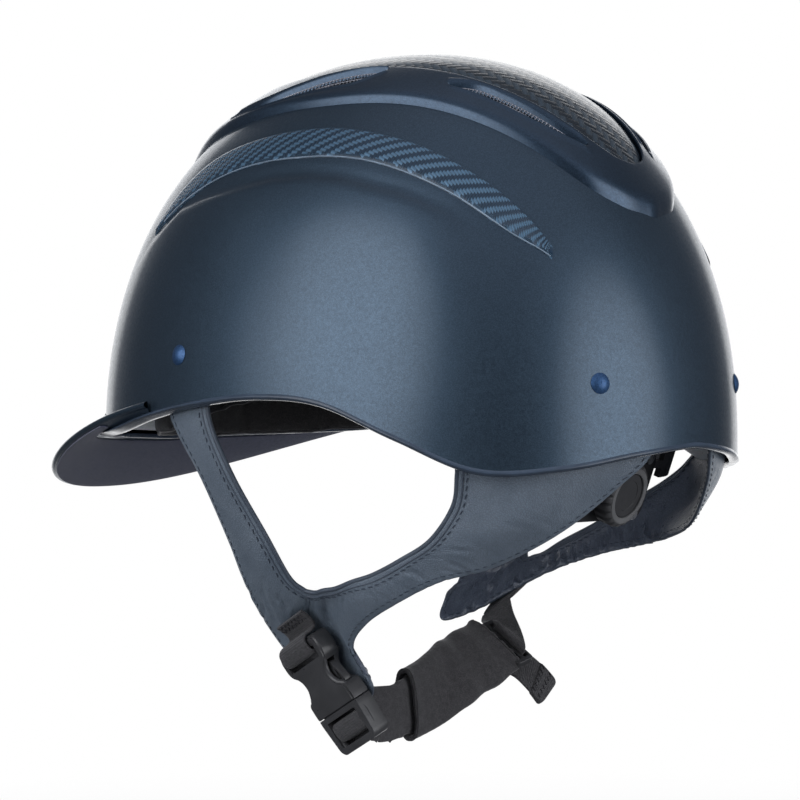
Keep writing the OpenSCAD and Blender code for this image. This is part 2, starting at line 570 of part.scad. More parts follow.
// Three-bar slider at the wearer's right
slider_at = [-52, 3, -86.2];
module strap_slider()
    color("#1d1d20") translate(slider_at) rotate([-35, 0, 0]) rotate([0, 20, 0]) difference() {
        cube([9, 26, 3], center = true);
        for (x = [-2, 2]) translate([x, 0, 0]) cube([2.2, 21.4, 5], center = true);
    }
module slider_loop() {
    edge = [-0.3, 0.84, 0.45];
    slot = slider_at + [-1.9, 0.4, 0.55];
    across = [0, 0.82, -0.57];
    through = [0.34, 0.54, 0.77];
    color("#232327") sheet(ribbon([[[-65.2, -13.5, -74.4], edge], [[-53.6, 1.1, -77.3], [-0.1, 0.8, 0.35]],
        [slot + 4.5 * through, across], [slot, across], [slot - 3.5 * through, across]], 18, 16), webbing_t);
}
module webbing_tail() {
    rows = [[[-57, -5, -89], [-49, 3, -98]], [[-60, -2, -87], [-51, 6, -99]], [[-64, 3, -88], [-53, 9, -102]],
        [[-69, 10, -95], [-56, 13, -107]], [[-73, 15, -103], [-59, 16, -112]]];
    color("#2b2b2f") sheet(patch(rows, 16, 2), webbing_t);
}

// ---------------------------------------------------------------- nodes

outer_shell();
centre_frame();
top_inlay();
side_inlay_left();
side_inlay_right();
vent_mesh_front_left();
vent_mesh_front_right();
vent_mesh_rear_left();
vent_mesh_rear_right();
rim_trim();
peak();
peak_lining();
foam_liner();
harness_rivets();
rivet_washers();
headband_pad();
crown_pad();
nape_pad();
nape_cradle();
cradle_straps();
dial_housing();
housing_cover();
housing_screws();
fit_dial();
dial_cap();
dial_pinion();
left_rack_band();
right_rack_band();
left_harness();
right_harness();
buckle_loop();
buckle_socket();
buckle_plug();
prong_front();
prong_rear();
plug_webbing();
chin_strap_pad();
chin_sleeve();
strap_slider();
slider_loop();
webbing_tail();
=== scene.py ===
import math

import bmesh
import bpy
import numpy as np
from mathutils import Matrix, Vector


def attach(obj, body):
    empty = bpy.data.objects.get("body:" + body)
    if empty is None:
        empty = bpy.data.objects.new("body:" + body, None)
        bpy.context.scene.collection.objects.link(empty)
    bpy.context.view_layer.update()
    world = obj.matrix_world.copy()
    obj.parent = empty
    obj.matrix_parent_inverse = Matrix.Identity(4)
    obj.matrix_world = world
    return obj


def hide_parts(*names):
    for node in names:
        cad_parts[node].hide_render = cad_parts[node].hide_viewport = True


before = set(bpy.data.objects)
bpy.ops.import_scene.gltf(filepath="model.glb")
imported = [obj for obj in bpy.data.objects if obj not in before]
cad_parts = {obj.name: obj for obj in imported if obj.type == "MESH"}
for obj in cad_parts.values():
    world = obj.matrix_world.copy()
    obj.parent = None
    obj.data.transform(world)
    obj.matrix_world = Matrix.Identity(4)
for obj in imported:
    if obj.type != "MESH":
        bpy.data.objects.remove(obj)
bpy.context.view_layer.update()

# Riding helmet. Lengths are millimetres and angles degrees until Shape.make writes a mesh in metres.
MM = 0.001
rng = np.random.default_rng(7)

# ---------------------------------------------------------------- the design's own sizes

SHELL_HALF_W, SHELL_FRONT, SHELL_REAR, CROWN_H = 111, 138, 128, 154
SHELL_T, FOAM_DEPTH, FRAME_H = 2.5, 18, 3
PLAN_POW, SIDE_POW = 2.15, 2.17
EDGE_HEIGHTS = [1, 2, 3, 5, 11, 16, 18.5, 16, 3.5, -9, -8, -3, 0]
PEAK_FRONT, PEAK_HALF_W, PEAK_SWEEP, PEAK_T = 177, 110, 60, 2.6
PEAK_LOW, PEAK_RISE, RIM_LIP = -20, 26, 2.6
STRAP_GAP, PAD_T, PAD_DROP, HARNESS_DEPTH = 8.6, 5.6, 14, 5
LEATHER_T, WEBBING_W, WEBBING_T = 2, 20, 1.5
HALF_W, HALF_T, MOUTH = 14, 4.5, 7
DIAL_R, GRIPS, DIAL_TILT = 13.5, 22, 20

FRAME_EDGE = [(24, -106), (40, -86), (53, -64), (60, -42), (63, -15), (62, 12), (57, 40),
              (50, 64), (41, 84), (31, 98), (18, 106), (4, 109)]
INLAY_EDGE = [(14, -88), (26, -74), (38, -52), (44, -29), (44, -5), (42, 18), (38, 41), (33, 59),
              (26, 76), (18, 90), (10, 97), (2, 99)]
FRONT_VENT = ([(44, 14), (45, 4), (48, -10), (52, -24), (54, -40), (51, -57)],
              [(46, 15), (55, 6), (58, -8), (60, -24), (59, -40), (53, -58)])
REAR_VENT = ([(45, 43), (39, 52), (36, 61), (33, 69), (30, 76), (26, 84), (21, 91)],
             [(47, 43), (45, 50), (43, 58), (41, 65), (38, 73), (32, 83), (23, 92)])
SIDE_INLAY = ([(76, -79), (80, -52), (82, -22), (82, 9), (79, 43), (74, 67), (67, 86), (57, 100)],
              [(74, -80), (71, -60), (73, -25), (73, 6), (72, 32), (68, 60), (63, 79), (56, 99)])


# ---------------------------------------------------------------- curves

def unit(v):
    v = np.asarray(v, float)
    return v / np.linalg.norm(v, axis=-1, keepdims=True)


def mix(a, b, k):
    return a + (b - a) * k


def ease(x, low, high):
    """0 below low, 1 above high, and a smooth step between."""
    k = np.clip((np.asarray(x, float) - low) / (high - low), 0, 1)
    return k * k * (3 - 2 * k)


def along(points, u):
    """Smooth curve through the points, at u from 0 to 1."""
    p = np.asarray(points, float)
    n = len(p) - 1
    u = np.clip(np.asarray(u, float), 0, 1) * n
    i = np.minimum(np.floor(u).astype(int), n - 1)
    k = (u - i).reshape(u.shape + (1,) * (p.ndim - 1))
    a, b, c, d = p[np.maximum(i - 1, 0)], p[i], p[i + 1], p[np.minimum(i + 2, n)]
    return b + k / 2 * ((c - a) + k * ((2 * a - 5 * b + 4 * c - d) + k * (3 * (b - c) + d - a)))


def smooth(points, steps):
    return along(points, np.linspace(0, 1, steps + 1))


def patch(rows, n, m):
    """Grid of n by m cells through rows of control points."""
    cross = smooth(rows, n)
    return np.swapaxes(smooth(np.swapaxes(cross, 0, 1), m), 0, 1)


def between(a, b, m):
    """Grid whose lines run straight from curve a to curve b."""
    k = np.linspace(0, 1, m + 1)[None, :, None]
    return a[:, None] * (1 - k) + b[:, None] * k


def normals(grid):
    return unit(np.cross(np.gradient(grid, axis=0), np.gradient(grid, axis=1)) + 1e-12)


def lengths(grid):
    """Distance along each line of the grid, both ways: the place of each point on the flat cloth."""
    u = np.zeros(grid.shape[:2])
    v = np.zeros(grid.shape[:2])
    u[1:] = np.cumsum(np.linalg.norm(np.diff(grid, axis=0), axis=2), axis=0)
    v[:, 1:] = np.cumsum(np.linalg.norm(np.diff(grid, axis=1), axis=2), axis=1)
    return np.stack([u.mean(1, keepdims=True) + 0 * u, v], -1)


def mirrored(points):
    return np.asarray(points, float) * ([-1, 1, 1] if np.shape(points)[-1] == 3 else [-1, 1])


# ---------------------------------------------------------------- the shell's surface
# t is the bearing from straight ahead, positive to the wearer's left, and off is the distance
# outside the shell's outer face.

def plan_r(t, off=0):
    t = np.radians(t)
    reach = np.where(np.cos(t) > 0, SHELL_FRONT, SHELL_REAR) + off
    wide = np.abs(np.sin(t)) / (SHELL_HALF_W + off)
    return (wide ** PLAN_POW + (np.abs(np.cos(t)) / reach) ** PLAN_POW) ** (-1 / PLAN_POW)


def dome_k(z, off=0):
    return np.clip(1 - (np.maximum(z, 0) / (CROWN_H + off)) ** SIDE_POW, 0, 1) ** (1 / SIDE_POW)


def shell_pt(t, z, off=0):
    t, z, off = np.broadcast_arrays(np.asarray(t, float), z, off)
    r = plan_r(t, off) * dome_k(z, off)
    return np.stack([r * np.sin(np.radians(t)), -r * np.cos(np.radians(t)), z], -1)


def dome_z(x, y, off=0):
    r = np.hypot(x, y) / plan_r(np.degrees(np.arctan2(x, -y)), off)
    return (CROWN_H + off) * np.clip(1 - r ** SIDE_POW, 0, 1) ** (1 / SIDE_POW)


def on_dome(xy, off=0):
    return np.concatenate([xy, dome_z(xy[..., 0], xy[..., 1], off)[..., None]], -1)


def edge_z(t):
    u = np.abs((np.asarray(t, float) + 540) % 360 - 180)
    return along(EDGE_HEIGHTS, u / 180)


def arc_across(x, y):
    """Length over the dome from its middle line to x, at constant y."""
    steps = np.linspace(0, 1, 25)
    xs = np.asarray(x)[..., None] * steps
    z = dome_z(xs, np.asarray(y)[..., None] + 0 * xs)
    return np.sign(x) * np.hypot(np.diff(xs), np.diff(z)).sum(-1)


def arc_back(x, y):
    """Length over the dome from y = 0 to y, at constant x."""
    steps = np.linspace(0, 1, 25)
    ys = np.asarray(y)[..., None] * steps
    z = dome_z(x + 0 * ys, ys)
    return np.sign(y) * np.hypot(np.diff(ys), np.diff(z)).sum(-1)


# ---------------------------------------------------------------- meshes

def cells(n, m, wrap_rows=False, wrap_cols=False):
    i = np.arange(n if wrap_rows else n - 1)[:, None]
    j = np.arange(m if wrap_cols else m - 1)[None, :]
    a, b = i * m + j, (i + 1) % n * m + j
    c, d = (i + 1) % n * m + (j + 1) % m, i * m + (j + 1) % m
    return np.stack(np.broadcast_arrays(a, b, c, d), -1).reshape(-1, 4)


WELD = 0.002                # points closer than this become one


def add_object(name, data):
    made = bpy.data.objects.new(name, data)
    bpy.context.scene.collection.objects.link(made)
    return made


class Shape:
    """Points and faces of one piece, with the place of each point on its flat cloth."""

    def __init__(self):
        self.points, self.flat, self.faces, self.paint, self.count = [], [], [], [], 0

    def add(self, points, faces, flat=None, paint=0):
        points = np.asarray(points, float).reshape(-1, 3)
        flat = points[:, :2] if flat is None else np.asarray(flat, float).reshape(-1, 2)
        self.points.append(points)
        self.flat.append(flat)
        self.faces += [[int(i) + self.count for i in f] for f in faces]
        self.paint += [paint] * len(faces)
        self.count += len(points)
        return self

    def grid(self, grid, paint=0, wrap_rows=False, wrap_cols=False, flat=None, keep=None):
        faces = cells(len(grid), len(grid[0]), wrap_rows, wrap_cols)
        if keep is not None:
            faces = faces[keep.reshape(-1)]
        return self.add(grid, faces, lengths(grid) if flat is None else flat, paint)

    def fan(self, ring, tip, paint=0):
        """Closes a ring of points with triangles to its tip."""
        k = len(ring)
        return self.add(np.concatenate([ring, [tip]]), [[j, (j + 1) % k, k] for j in range(k)], paint=paint)

    def make(self, name, body, slot, materials, nodes=(), sharp=35):
        me = bpy.data.meshes.new(name)
        me.from_pydata((np.concatenate(self.points) * MM).tolist(), [], self.faces)
        me.attributes.new("flat", "FLOAT_VECTOR", "POINT").data.foreach_set(
            "vector", np.pad(np.concatenate(self.flat), ((0, 0), (0, 1))).ravel().astype(np.float32))
        me.polygons.foreach_set("material_index", self.paint)
        bm = bmesh.new()
        bm.from_mesh(me)
        bmesh.ops.remove_doubles(bm, verts=bm.verts, dist=WELD * MM)
        bmesh.ops.dissolve_degenerate(bm, edges=bm.edges, dist=1e-7)
        bmesh.ops.recalc_face_normals(bm, faces=bm.faces)
        bm.to_mesh(me)
        bm.free()
        me.shade_smooth()
        me.set_sharp_from_angle(angle=math.radians(sharp))
        for m in materials:
            me.materials.append(m)
        piece = add_object(name, me)
        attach(piece, body)
        if nodes:
            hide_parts(*nodes)
        return piece


def apply_modifiers(piece):
    depsgraph = bpy.context.evaluated_depsgraph_get()
    me = bpy.data.meshes.new_from_object(piece.evaluated_get(depsgraph))
    piece.modifiers.clear()
    piece.data = me
    return piece


def tube(shape, line, radius, sides=8, paint=0):
    """Round cord along a line of points, closed by a point at each end."""
    line = np.asarray(line, float)
    d = unit(np.gradient(line, axis=0))
    up = unit(np.cross(d, np.where(np.abs(d[:, 2:]) < 0.9, [[0, 0, 1]], [[1, 0, 0]])))
    for i in range(1, len(up)):
        step = up[i - 1] - np.dot(up[i - 1], d[i]) * d[i]
        up[i] = step / np.linalg.norm(step)
    side = np.cross(d, up)
    a = np.radians(np.arange(sides) * 360 / sides)
    r = np.broadcast_to(radius, len(line))[:, None, None]
    c, s = np.cos(a)[None, :, None], np.sin(a)[None, :, None]
    ring = line[:, None] + r * (c * up[:, None] + s * side[:, None])
    shape.grid(ring, paint, wrap_cols=True)
    for k in (0, -1):
        shape.fan(ring[k], line[k], paint)
    return shape


def slab(shape, grid, top, low, paints=(0, 0, 0), rounding=0.5):
    """Solid either side of a grid. Top and low are the distances to its two faces."""
    n = normals(grid)
    flat = lengths(grid)
    upper, lower = grid + np.expand_dims(top, -1) * n, grid - np.expand_dims(low, -1) * n
    shape.grid(upper, paints[0], flat=flat)
    shape.grid(lower, paints[1], flat=flat)
    every, angles = slice(None), np.radians(np.linspace(-90, 90, 7))
    for at, inner in (((every, 0), (every, 1)), ((every, -1), (every, -2)), ((0, every), (1, every)),
                      ((-1, every), (-2, every))):
        out = unit(grid[at] - grid[inner])
        half, middle = (upper[at] - lower[at]) / 2, (upper[at] + lower[at]) / 2
        size = np.linalg.norm(half, axis=1, keepdims=True)
        rim = np.stack([middle + math.sin(a) * half + math.cos(a) * rounding * size * out for a in angles])
        shape.grid(rim, paints[2], flat=np.broadcast_to(flat[at], rim.shape[:2] + (2,)))
    return shape


# ---------------------------------------------------------------- materials

NOISE_RANGE = 0.3, 0.7      # where most of a noise pattern's values lie

class Tree:
    """A tree of shader nodes."""

    def __init__(self, tree):
        self.tree = tree

    def node(self, kind, values=(), **settings):
        made = self.tree.nodes.new("ShaderNode" + kind)
        for key, value in settings.items():
            setattr(made, key, value)
        for key, value in dict(values).items():
            if isinstance(value, bpy.types.NodeSocket):
                self.tree.links.new(value, made.inputs[key])
            else:
                made.inputs[key].default_value = value
        return made


def tint(colour, k):
    return tuple(k * c for c in colour)


class Paint(Tree):
    """A procedural material round one Principled shader."""

    def __init__(self, name, **sockets):
        self.material = bpy.data.materials.new(name)
        self.material.use_nodes = True
        super().__init__(self.material.node_tree)
        self.shader = self.tree.nodes["Principled BSDF"]
        for key, value in sockets.items():
            self.shader.inputs[key.replace("_", " ")].default_value = value
        self.height = None

    def math(self, operation, a, b=0.0, c=0.0):
        return self.node("Math", {0: a, 1: b, 2: c}, operation=operation).outputs[0]

    def place(self):
        return self.node("TexCoord").outputs["Object"]

    def flat(self):
        return self.node("Attribute", attribute_name="flat").outputs["Vector"]

    def noise(self, size, detail=2.0, rough=0.5, at=None, stretch=None):
        """Noise with blobs about size millimetres wide, on the object's own place or at a place given."""
        scale = 1 / (size * MM) if at is None else 1 / size
        at = at or self.place()
        if stretch:
            at = self.node("VectorMath", {0: at, 1: stretch}, operation="MULTIPLY").outputs[0]
        return self.node("TexNoise", {"Vector": at, "Scale": scale, "Detail": detail,
                                      "Roughness": rough}).outputs[0]

    def bubbles(self, size, feature="F1"):
        return self.node("TexVoronoi", {"Vector": self.place(), "Scale": 1 / (size * MM)}, feature=feature)

    def spread(self, value, low, high, to_low=0.0, to_high=1.0):
        return self.node("MapRange", {"Value": value, "From Min": low, "From Max": high, "To Min": to_low,
                                      "To Max": to_high}).outputs["Result"]

    def blend(self, factor, a, b, mode="MIX"):
        a, b = ((*c, 1) if isinstance(c, tuple) else c for c in (a, b))
        return self.node("Mix", {0: factor, 6: a, 7: b}, data_type="RGBA", blend_type=mode).outputs[2]

    def mottled(self, pattern, dark, light):
        """Colour that wanders from dark to light with a pattern of noise."""
        return self.blend(self.spread(pattern, *NOISE_RANGE), dark, light)

    def set(self, socket, value):
        self.tree.links.new(value, self.shader.inputs[socket])

    def colour(self, cover, tone, shade):
        """Base colour: a tone, and the shade where cover is high."""
        self.set("Base Color", self.blend(cover, tone, shade))

    def roughness(self, pattern, low, high):
        self.set("Roughness", self.spread(pattern, *NOISE_RANGE, low, high))

    def emboss(self, height, depth):
        """Raises the surface by height times depth, in millimetres."""
        bump = self.node("Bump", {"Height": height, "Distance": depth * MM, "Strength": 1.0})
        if self.height is not None:
            self.tree.links.new(self.height, bump.inputs["Normal"])
        self.height = bump.outputs[0]
        self.set("Normal", self.height)


def flake_paint(name, dark, light, rough, coat):
    """Metallic paint: a mottled base, small flakes turned every way, and a clear coat."""
    p = Paint(name, Metallic=0.85, Coat_Weight=coat, Coat_Roughness=0.06, Coat_IOR=1.5)
    flakes = p.bubbles(0.3)
    glint = p.spread(p.node("SeparateColor", {0: flakes.outputs["Color"]}).outputs[0], 0.2, 1.0)
    base = p.blend(p.noise(26, 3), dark, light)
    p.colour(p.math("MULTIPLY", glint, 0.35), base, tint(light, 1.9))
    p.roughness(p.noise(1.2, 2), rough - 0.05, rough + 0.07)
    p.emboss(p.noise(0.7, 1), 0.012)
    return p.material


def twill(name, dark, light, tow, turn, gloss):
    """Woven carbon under a clear coat: two-by-two twill of tows tow millimetres wide."""
    p = Paint(name, Metallic=0.35, Coat_Weight=gloss, Coat_Roughness=0.06)
    place = p.node("VectorRotate", {"Vector": p.flat(), "Angle": math.radians(turn)}, rotation_type="Z_AXIS")
    axis = p.node("SeparateXYZ", {0: place.outputs[0]})
    a, b = (p.math("DIVIDE", axis.outputs[k], tow) for k in (0, 1))
    step = p.math("ADD", p.math("FLOOR", a), p.math("FLOOR", b))
    over = p.math("LESS_THAN", p.math("FLOORED_MODULO", step, 4.0), 2.0)

    def on_top(one, other):
        under = p.math("MULTIPLY", p.math("SUBTRACT", 1.0, over), other)
        return p.math("ADD", p.math("MULTIPLY", over, one), under)

    crown = p.math("SINE", p.math("MULTIPLY", on_top(p.math("FRACT", a), p.math("FRACT", b)), math.pi))
    hairs = on_top(*(p.noise(0.22, 2, at=place.outputs[0], stretch=s) for s in ((1, 0.08, 1), (0.08, 1, 1))))
    # Painted shade: the colour falls to 55 % towards each tow's edges, standing in for the shade on its
    # rounded section; hairs adds fine streaks along the fibres.
    shade = p.math("MULTIPLY", p.spread(hairs, *NOISE_RANGE, 0.75, 1.15), p.spread(crown, 0, 1, 0.55, 1.0))
    grey = p.node("CombineColor", {0: shade, 1: shade, 2: shade}).outputs[0]
    # Painted sheen: tows running one way take the light colour and tows running the other way the dark one,
    # standing in for the light the fibres throw back by their direction.
    p.set("Base Color", p.blend(1.0, p.blend(over, dark, light), grey, "MULTIPLY"))
    p.set("Roughness", p.spread(over, 0, 1, 0.32, 0.42))
    p.emboss(crown, 0.12)
    return p.material


def leather(name, dark, light, rough, grain=0.9, depth=0.09):
    """Embossed leather; grain is the width of a pebble and depth the depth of the lines between them."""
    p = Paint(name, Specular_IOR_Level=0.45, Coat_Weight=0.12, Coat_Roughness=0.3)
    pores = p.spread(p.bubbles(grain, "DISTANCE_TO_EDGE").outputs["Distance"], 0.0, 0.22)
    tone = p.mottled(p.noise(14, 4, 0.6), dark, light)
    # Painted shade: the colour darkens towards the lines between the pebbles, where the emboss sinks them.
    p.colour(p.spread(pores, 0, 1, 0.35, 0.0), tone, tint(dark, 0.35))
    p.roughness(p.noise(5, 3), rough - 0.08, rough + 0.1)
    p.emboss(p.noise(3.2, 3), 0.16)
    p.emboss(pores, depth)
    return p.material


def plastic(name, colour, rough, texture=0.35, depth=0.02, worn=1.5):
    """Moulded plastic with a fine spark-eroded texture and faint colour clouds."""
    p = Paint(name, Specular_IOR_Level=0.45)
    p.set("Base Color", p.mottled(p.noise(12, 3), colour, tint(colour, worn)))
    p.roughness(p.noise(4, 3), rough - 0.06, rough + 0.08)
    p.emboss(p.noise(texture, 2), depth)
    return p.material


def woven(name, dark, light, pitch, rough=0.85):
    """Plain weave on the flat cloth, pitch millimetres from thread to thread."""
    p = Paint(name, Sheen_Weight=0.3, Sheen_Roughness=0.5, Specular_IOR_Level=0.25)
    axis = p.node("SeparateXYZ", {0: p.flat()})
    waves = [p.math("SINE", p.math("MULTIPLY", axis.outputs[k], math.pi / pitch)) for k in (0, 1)]
    thread = p.spread(p.math("ABSOLUTE", p.math("MULTIPLY", *waves)), 0, 0.6)
    mottle = p.noise(1.4, 3)
    # Painted shade: the colour darkens in the lines between the threads, where the emboss sinks them.
    p.colour(p.spread(thread, 0, 1, 0.55, 0.0), p.mottled(mottle, dark, light), tint(dark, 0.4))
    p.roughness(mottle, rough - 0.08, rough + 0.08)
    p.emboss(thread, 0.12)
    p.emboss(p.noise(0.35, 2), 0.05)
    return p.material


def felted(name, dark, light, size=0.5, rough=0.9, depth=0.1, fuzz=0.4):
    """Knitted or brushed fabric whose grain doesn't follow a weave."""
    p = Paint(name, Sheen_Weight=fuzz, Sheen_Roughness=0.45, Specular_IOR_Level=0.2)
    loops = p.bubbles(size).outputs["Distance"]
    mottle = p.noise(2.2, 4, 0.65)
    # Painted shade: the colour darkens between the loops, where the emboss presses the surface in.
    p.colour(p.spread(loops, 0.1, 0.6, 0.0, 0.6), p.mottled(mottle, dark, light), tint(dark, 0.4))
    p.roughness(mottle, rough - 0.08, rough + 0.06)
    p.emboss(loops, -depth)
    p.emboss(p.noise(7, 2), 0.25)
    return p.material


def ribbed(name, dark, light, rough=0.7):
    """Webbing: threads lie along the ribs, which the mesh itself has."""
    p = Paint(name, Sheen_Weight=0.35, Sheen_Roughness=0.4, Specular_IOR_Level=0.3)
    threads = p.noise(0.3, 2, at=p.flat(), stretch=(1, 0.15, 1))
    mottle = p.noise(1.0, 3)
    # Painted shade: the colour darkens where the thread pattern is low, the same places the emboss sinks.
    p.colour(p.spread(threads, 0.35, 0.65, 0.5, 0.0), p.mottled(mottle, dark, light), tint(dark, 0.4))
    p.roughness(mottle, rough - 0.08, rough + 0.08)
    p.emboss(threads, 0.06)
    return p.material


def beads(name, colour, rough=0.75):
    """Moulded foam: beads pressed together."""
    p = Paint(name, Specular_IOR_Level=0.35, Subsurface_Weight=0.08)
    seam = p.spread(p.bubbles(3.2, "DISTANCE_TO_EDGE").outputs["Distance"], 0, 0.12)
    # Painted shade: the colour darkens along the seams between the beads, where the emboss sinks them.
    p.colour(p.spread(seam, 0, 1, 0.35, 0.0), colour, tint(colour, 0.7))
    p.roughness(p.noise(6, 3), rough - 0.1, rough + 0.1)
    p.emboss(seam, 0.12)
    return p.material


def metal(name, colour, rough):
    """Bare metal with fine scratches."""
    p = Paint(name, Metallic=1.0)
    scratches = p.noise(0.8, 3)
    p.set("Base Color", p.mottled(scratches, tint(colour, 0.75), colour))
    p.roughness(p.noise(3, 3), rough - 0.06, rough + 0.1)
    p.emboss(scratches, 0.01)
    return p.material


SHELL_PAINT = flake_paint("shell_paint", (0.033, 0.054, 0.080), (0.045, 0.072, 0.104), 0.40, 0.35)
FRAME_PAINT = flake_paint("frame_paint", (0.024, 0.042, 0.068), (0.034, 0.057, 0.090), 0.34, 0.35)
# Each carbon's two colours are painted sheen: the light one on tows running one way, the dark one on tows
# running the other.
CARBON_DARK = twill("carbon_dark", (0.010, 0.017, 0.026), (0.036, 0.056, 0.078), 3.0, 40, 0.4)
CARBON_BLUE = twill("carbon_blue", (0.014, 0.038, 0.072), (0.080, 0.165, 0.260), 1.35, 8, 0.5)
MESH_SILVER = metal("mesh_silver", (0.55, 0.55, 0.60), 0.35)
TRIM_GLOSS = plastic("trim_gloss", (0.035, 0.050, 0.075), 0.2, 0.8, 0.01)
LINING = woven("lining_fabric", (0.100, 0.108, 0.170), (0.165, 0.175, 0.260), 0.55)
FOAM = beads("foam_white", (0.80, 0.81, 0.83))
# Black for the walls of the vent holes cut through the white foam: painted shade inside the holes.
VENT_SHADE_BLACK = plastic("vent_shade_black", (0.012, 0.012, 0.014), 0.7, 0.6, 0.05)
RIVET_BLUE = flake_paint("rivet_blue", (0.030, 0.075, 0.17), (0.045, 0.105, 0.23), 0.5, 0.2)
STEEL = metal("washer_steel", (0.55, 0.56, 0.58), 0.3)
PAD_FABRIC = felted("liner_fabric", (0.026, 0.024, 0.025), (0.055, 0.052, 0.052))
BLACK_PLASTIC = plastic("plastic_black", (0.012, 0.012, 0.014), 0.5)
DIAL_RUBBER = plastic("dial_rubber", (0.052, 0.052, 0.054), 0.6, 0.5, 0.03)
DIAL_FACE = plastic("dial_face", (0.030, 0.030, 0.032), 0.5)
DIAL_RING = plastic("dial_ring", (0.12, 0.12, 0.122), 0.36)
NYLON = plastic("pinion_nylon", (0.55, 0.55, 0.52), 0.45, 0.5, 0.02, 1.1)
BAND_GREY = plastic("band_grey", (0.065, 0.065, 0.07), 0.45)
LEATHER = leather("leather_navy", (0.125, 0.160, 0.205), (0.175, 0.215, 0.265), 0.42)
LEATHER_IN = leather("leather_inner", (0.072, 0.088, 0.124), (0.115, 0.136, 0.180), 0.34, 1.3, 0.06)
PIPING = leather("leather_piping", (0.055, 0.072, 0.100), (0.085, 0.108, 0.145), 0.42, 0.6, 0.05)
THREAD = ribbed("thread_navy", (0.030, 0.042, 0.066), (0.060, 0.078, 0.11), 0.6)
WEBBING = ribbed("webbing_black", (0.040, 0.039, 0.042), (0.095, 0.092, 0.096))
BUCKLE = plastic("buckle_black", (0.034, 0.034, 0.036), 0.33, 0.3, 0.012)
CHIN_FABRIC = felted("chin_fabric", (0.052, 0.050, 0.053), (0.105, 0.101, 0.106), 0.45, 0.85, 0.05, 0.3)
CHIN_BINDING = ribbed("chin_binding", (0.030, 0.029, 0.031), (0.065, 0.063, 0.066))
THREAD_BLACK = ribbed("thread_black", (0.016, 0.016, 0.02), (0.035, 0.035, 0.042))
INLAY_EDGE_PAINT = plastic("inlay_edge", (0.16, 0.21, 0.27), 0.25, 0.5, 0.01)


# ---------------------------------------------------------------- shell

CREASE = [(-97, 62), (-80, 77), (-62, 89), (-46, 92.5), (-27, 96), (-10, 98.8), (7, 99.3), (23, 97.8),
          (50, 91), (66, 84), (81, 73), (92, 63)]
CREASE_RISE = 1.35          # length up the shell's side for each unit of height, at the crease
BULGE, BULGE_REACH, HOLLOW, CREASE_W = 1.5, 34, 0.5, 6
VENT_GAP, VENT_GAP_INSIDE = 0.6, 1.0
SHELL_TOP = 0.985           # share of the way up where the shell ends, under the crown inlay


def relief(points):
    """How far the shell's sides stand out: full below the crease, and hollow just above it."""
    y, z = points[..., 1], points[..., 2]
    ys, zs = np.array(CREASE, float).T
    s = CREASE_RISE * (z - np.interp(y, ys, zs))
    full = BULGE * np.where(s < 0, np.exp(-(s / BULGE_REACH) ** 2), 1 - ease(s, 0, CREASE_W))
    hollow = -HOLLOW * ease(s, 0, CREASE_W) * (1 - ease(s, CREASE_W, 13))
    ends = ease(y, -100, -25) * (1 - ease(y, 58, 92))
    return (full + hollow) * ends * ease(np.abs(points[..., 0]), 20, 50)


def dome_grid(rows, cols, off, lift, top=1.0):
    """Grid over the dome from its edge, raised by lift, to the share top of the way to the crown."""
    t = np.linspace(0, 360, cols, endpoint=False)[None, :]
    h = CROWN_H + off
    w0 = np.arcsin((edge_z(t) + lift) / h)
    w = mix(w0, math.pi / 2, np.linspace(0, top, rows + 1)[:, None])
    return shell_pt(t, h * np.sin(w), off)


def inside(xy, vent, margin):
    """Whether plan points lie in a vent's outline widened by margin."""
    inner, outer = (polar(edge) for edge in vent)
    t = np.degrees(np.arctan2(np.abs(xy[..., 0]), -xy[..., 1]))
    r = np.hypot(xy[..., 0], xy[..., 1])
    spare = np.degrees(margin / 60)
    within = (t > inner[0][0] - spare) & (t < inner[0][-1] + spare)
    return within & (r > np.interp(t, *inner) - margin) & (r < np.interp(t, *outer) + margin)


def polar(edge):
    """Bearings and radii along an outline, in order of bearing."""
    x, y = smooth(edge, 160).T
    t = np.degrees(np.arctan2(np.abs(x), -y))
    order = np.argsort(t)
    return t[order], np.hypot(x, y)[order]


def make_shell():
    outer = dome_grid(110, 360, 0, 0, SHELL_TOP)
    outer = outer + relief(outer)[..., None] * unit(outer * [1, 1, 0.6])
    inner = dome_grid(60, 180, -SHELL_T, 0.3, SHELL_TOP)
    shape = Shape()
    for paint, (grid, margin) in enumerate(((outer, VENT_GAP), (inner, VENT_GAP_INSIDE))):
        middle = (grid[:-1] + grid[1:]) / 2
        middle = (middle + np.roll(middle, -1, 1)) / 2
        solid = ~(inside(middle, FRONT_VENT, margin) | inside(middle, REAR_VENT, margin))
        shape.grid(grid, paint, wrap_cols=True, keep=solid, flat=grid[..., :2])
    t = np.linspace(0, 360, 360, endpoint=False)
    rim = np.stack([shell_pt(t, edge_z(t) + dz, off) for off, dz in
                    ((0, 0), (-0.3, -0.25), (-SHELL_T / 2, -0.4), (-SHELL_T + 0.2, -0.2), (-SHELL_T, 0.3))])
    shape.grid(rim, wrap_cols=True)
    shape.make("shell_skin", "helmet", "shell_paint", [SHELL_PAINT, BLACK_PLASTIC], ["outer_shell"])


# ---------------------------------------------------------------- crown frame and inlays

LIP_W, BEVEL_W = 2.4, 1.8
LIP_PROFILE = [(0.55, 0.45), (0.15, 0.1), (0, -0.7), (0, 0.1 - FRAME_H)]    # share of LIP_W, and rise


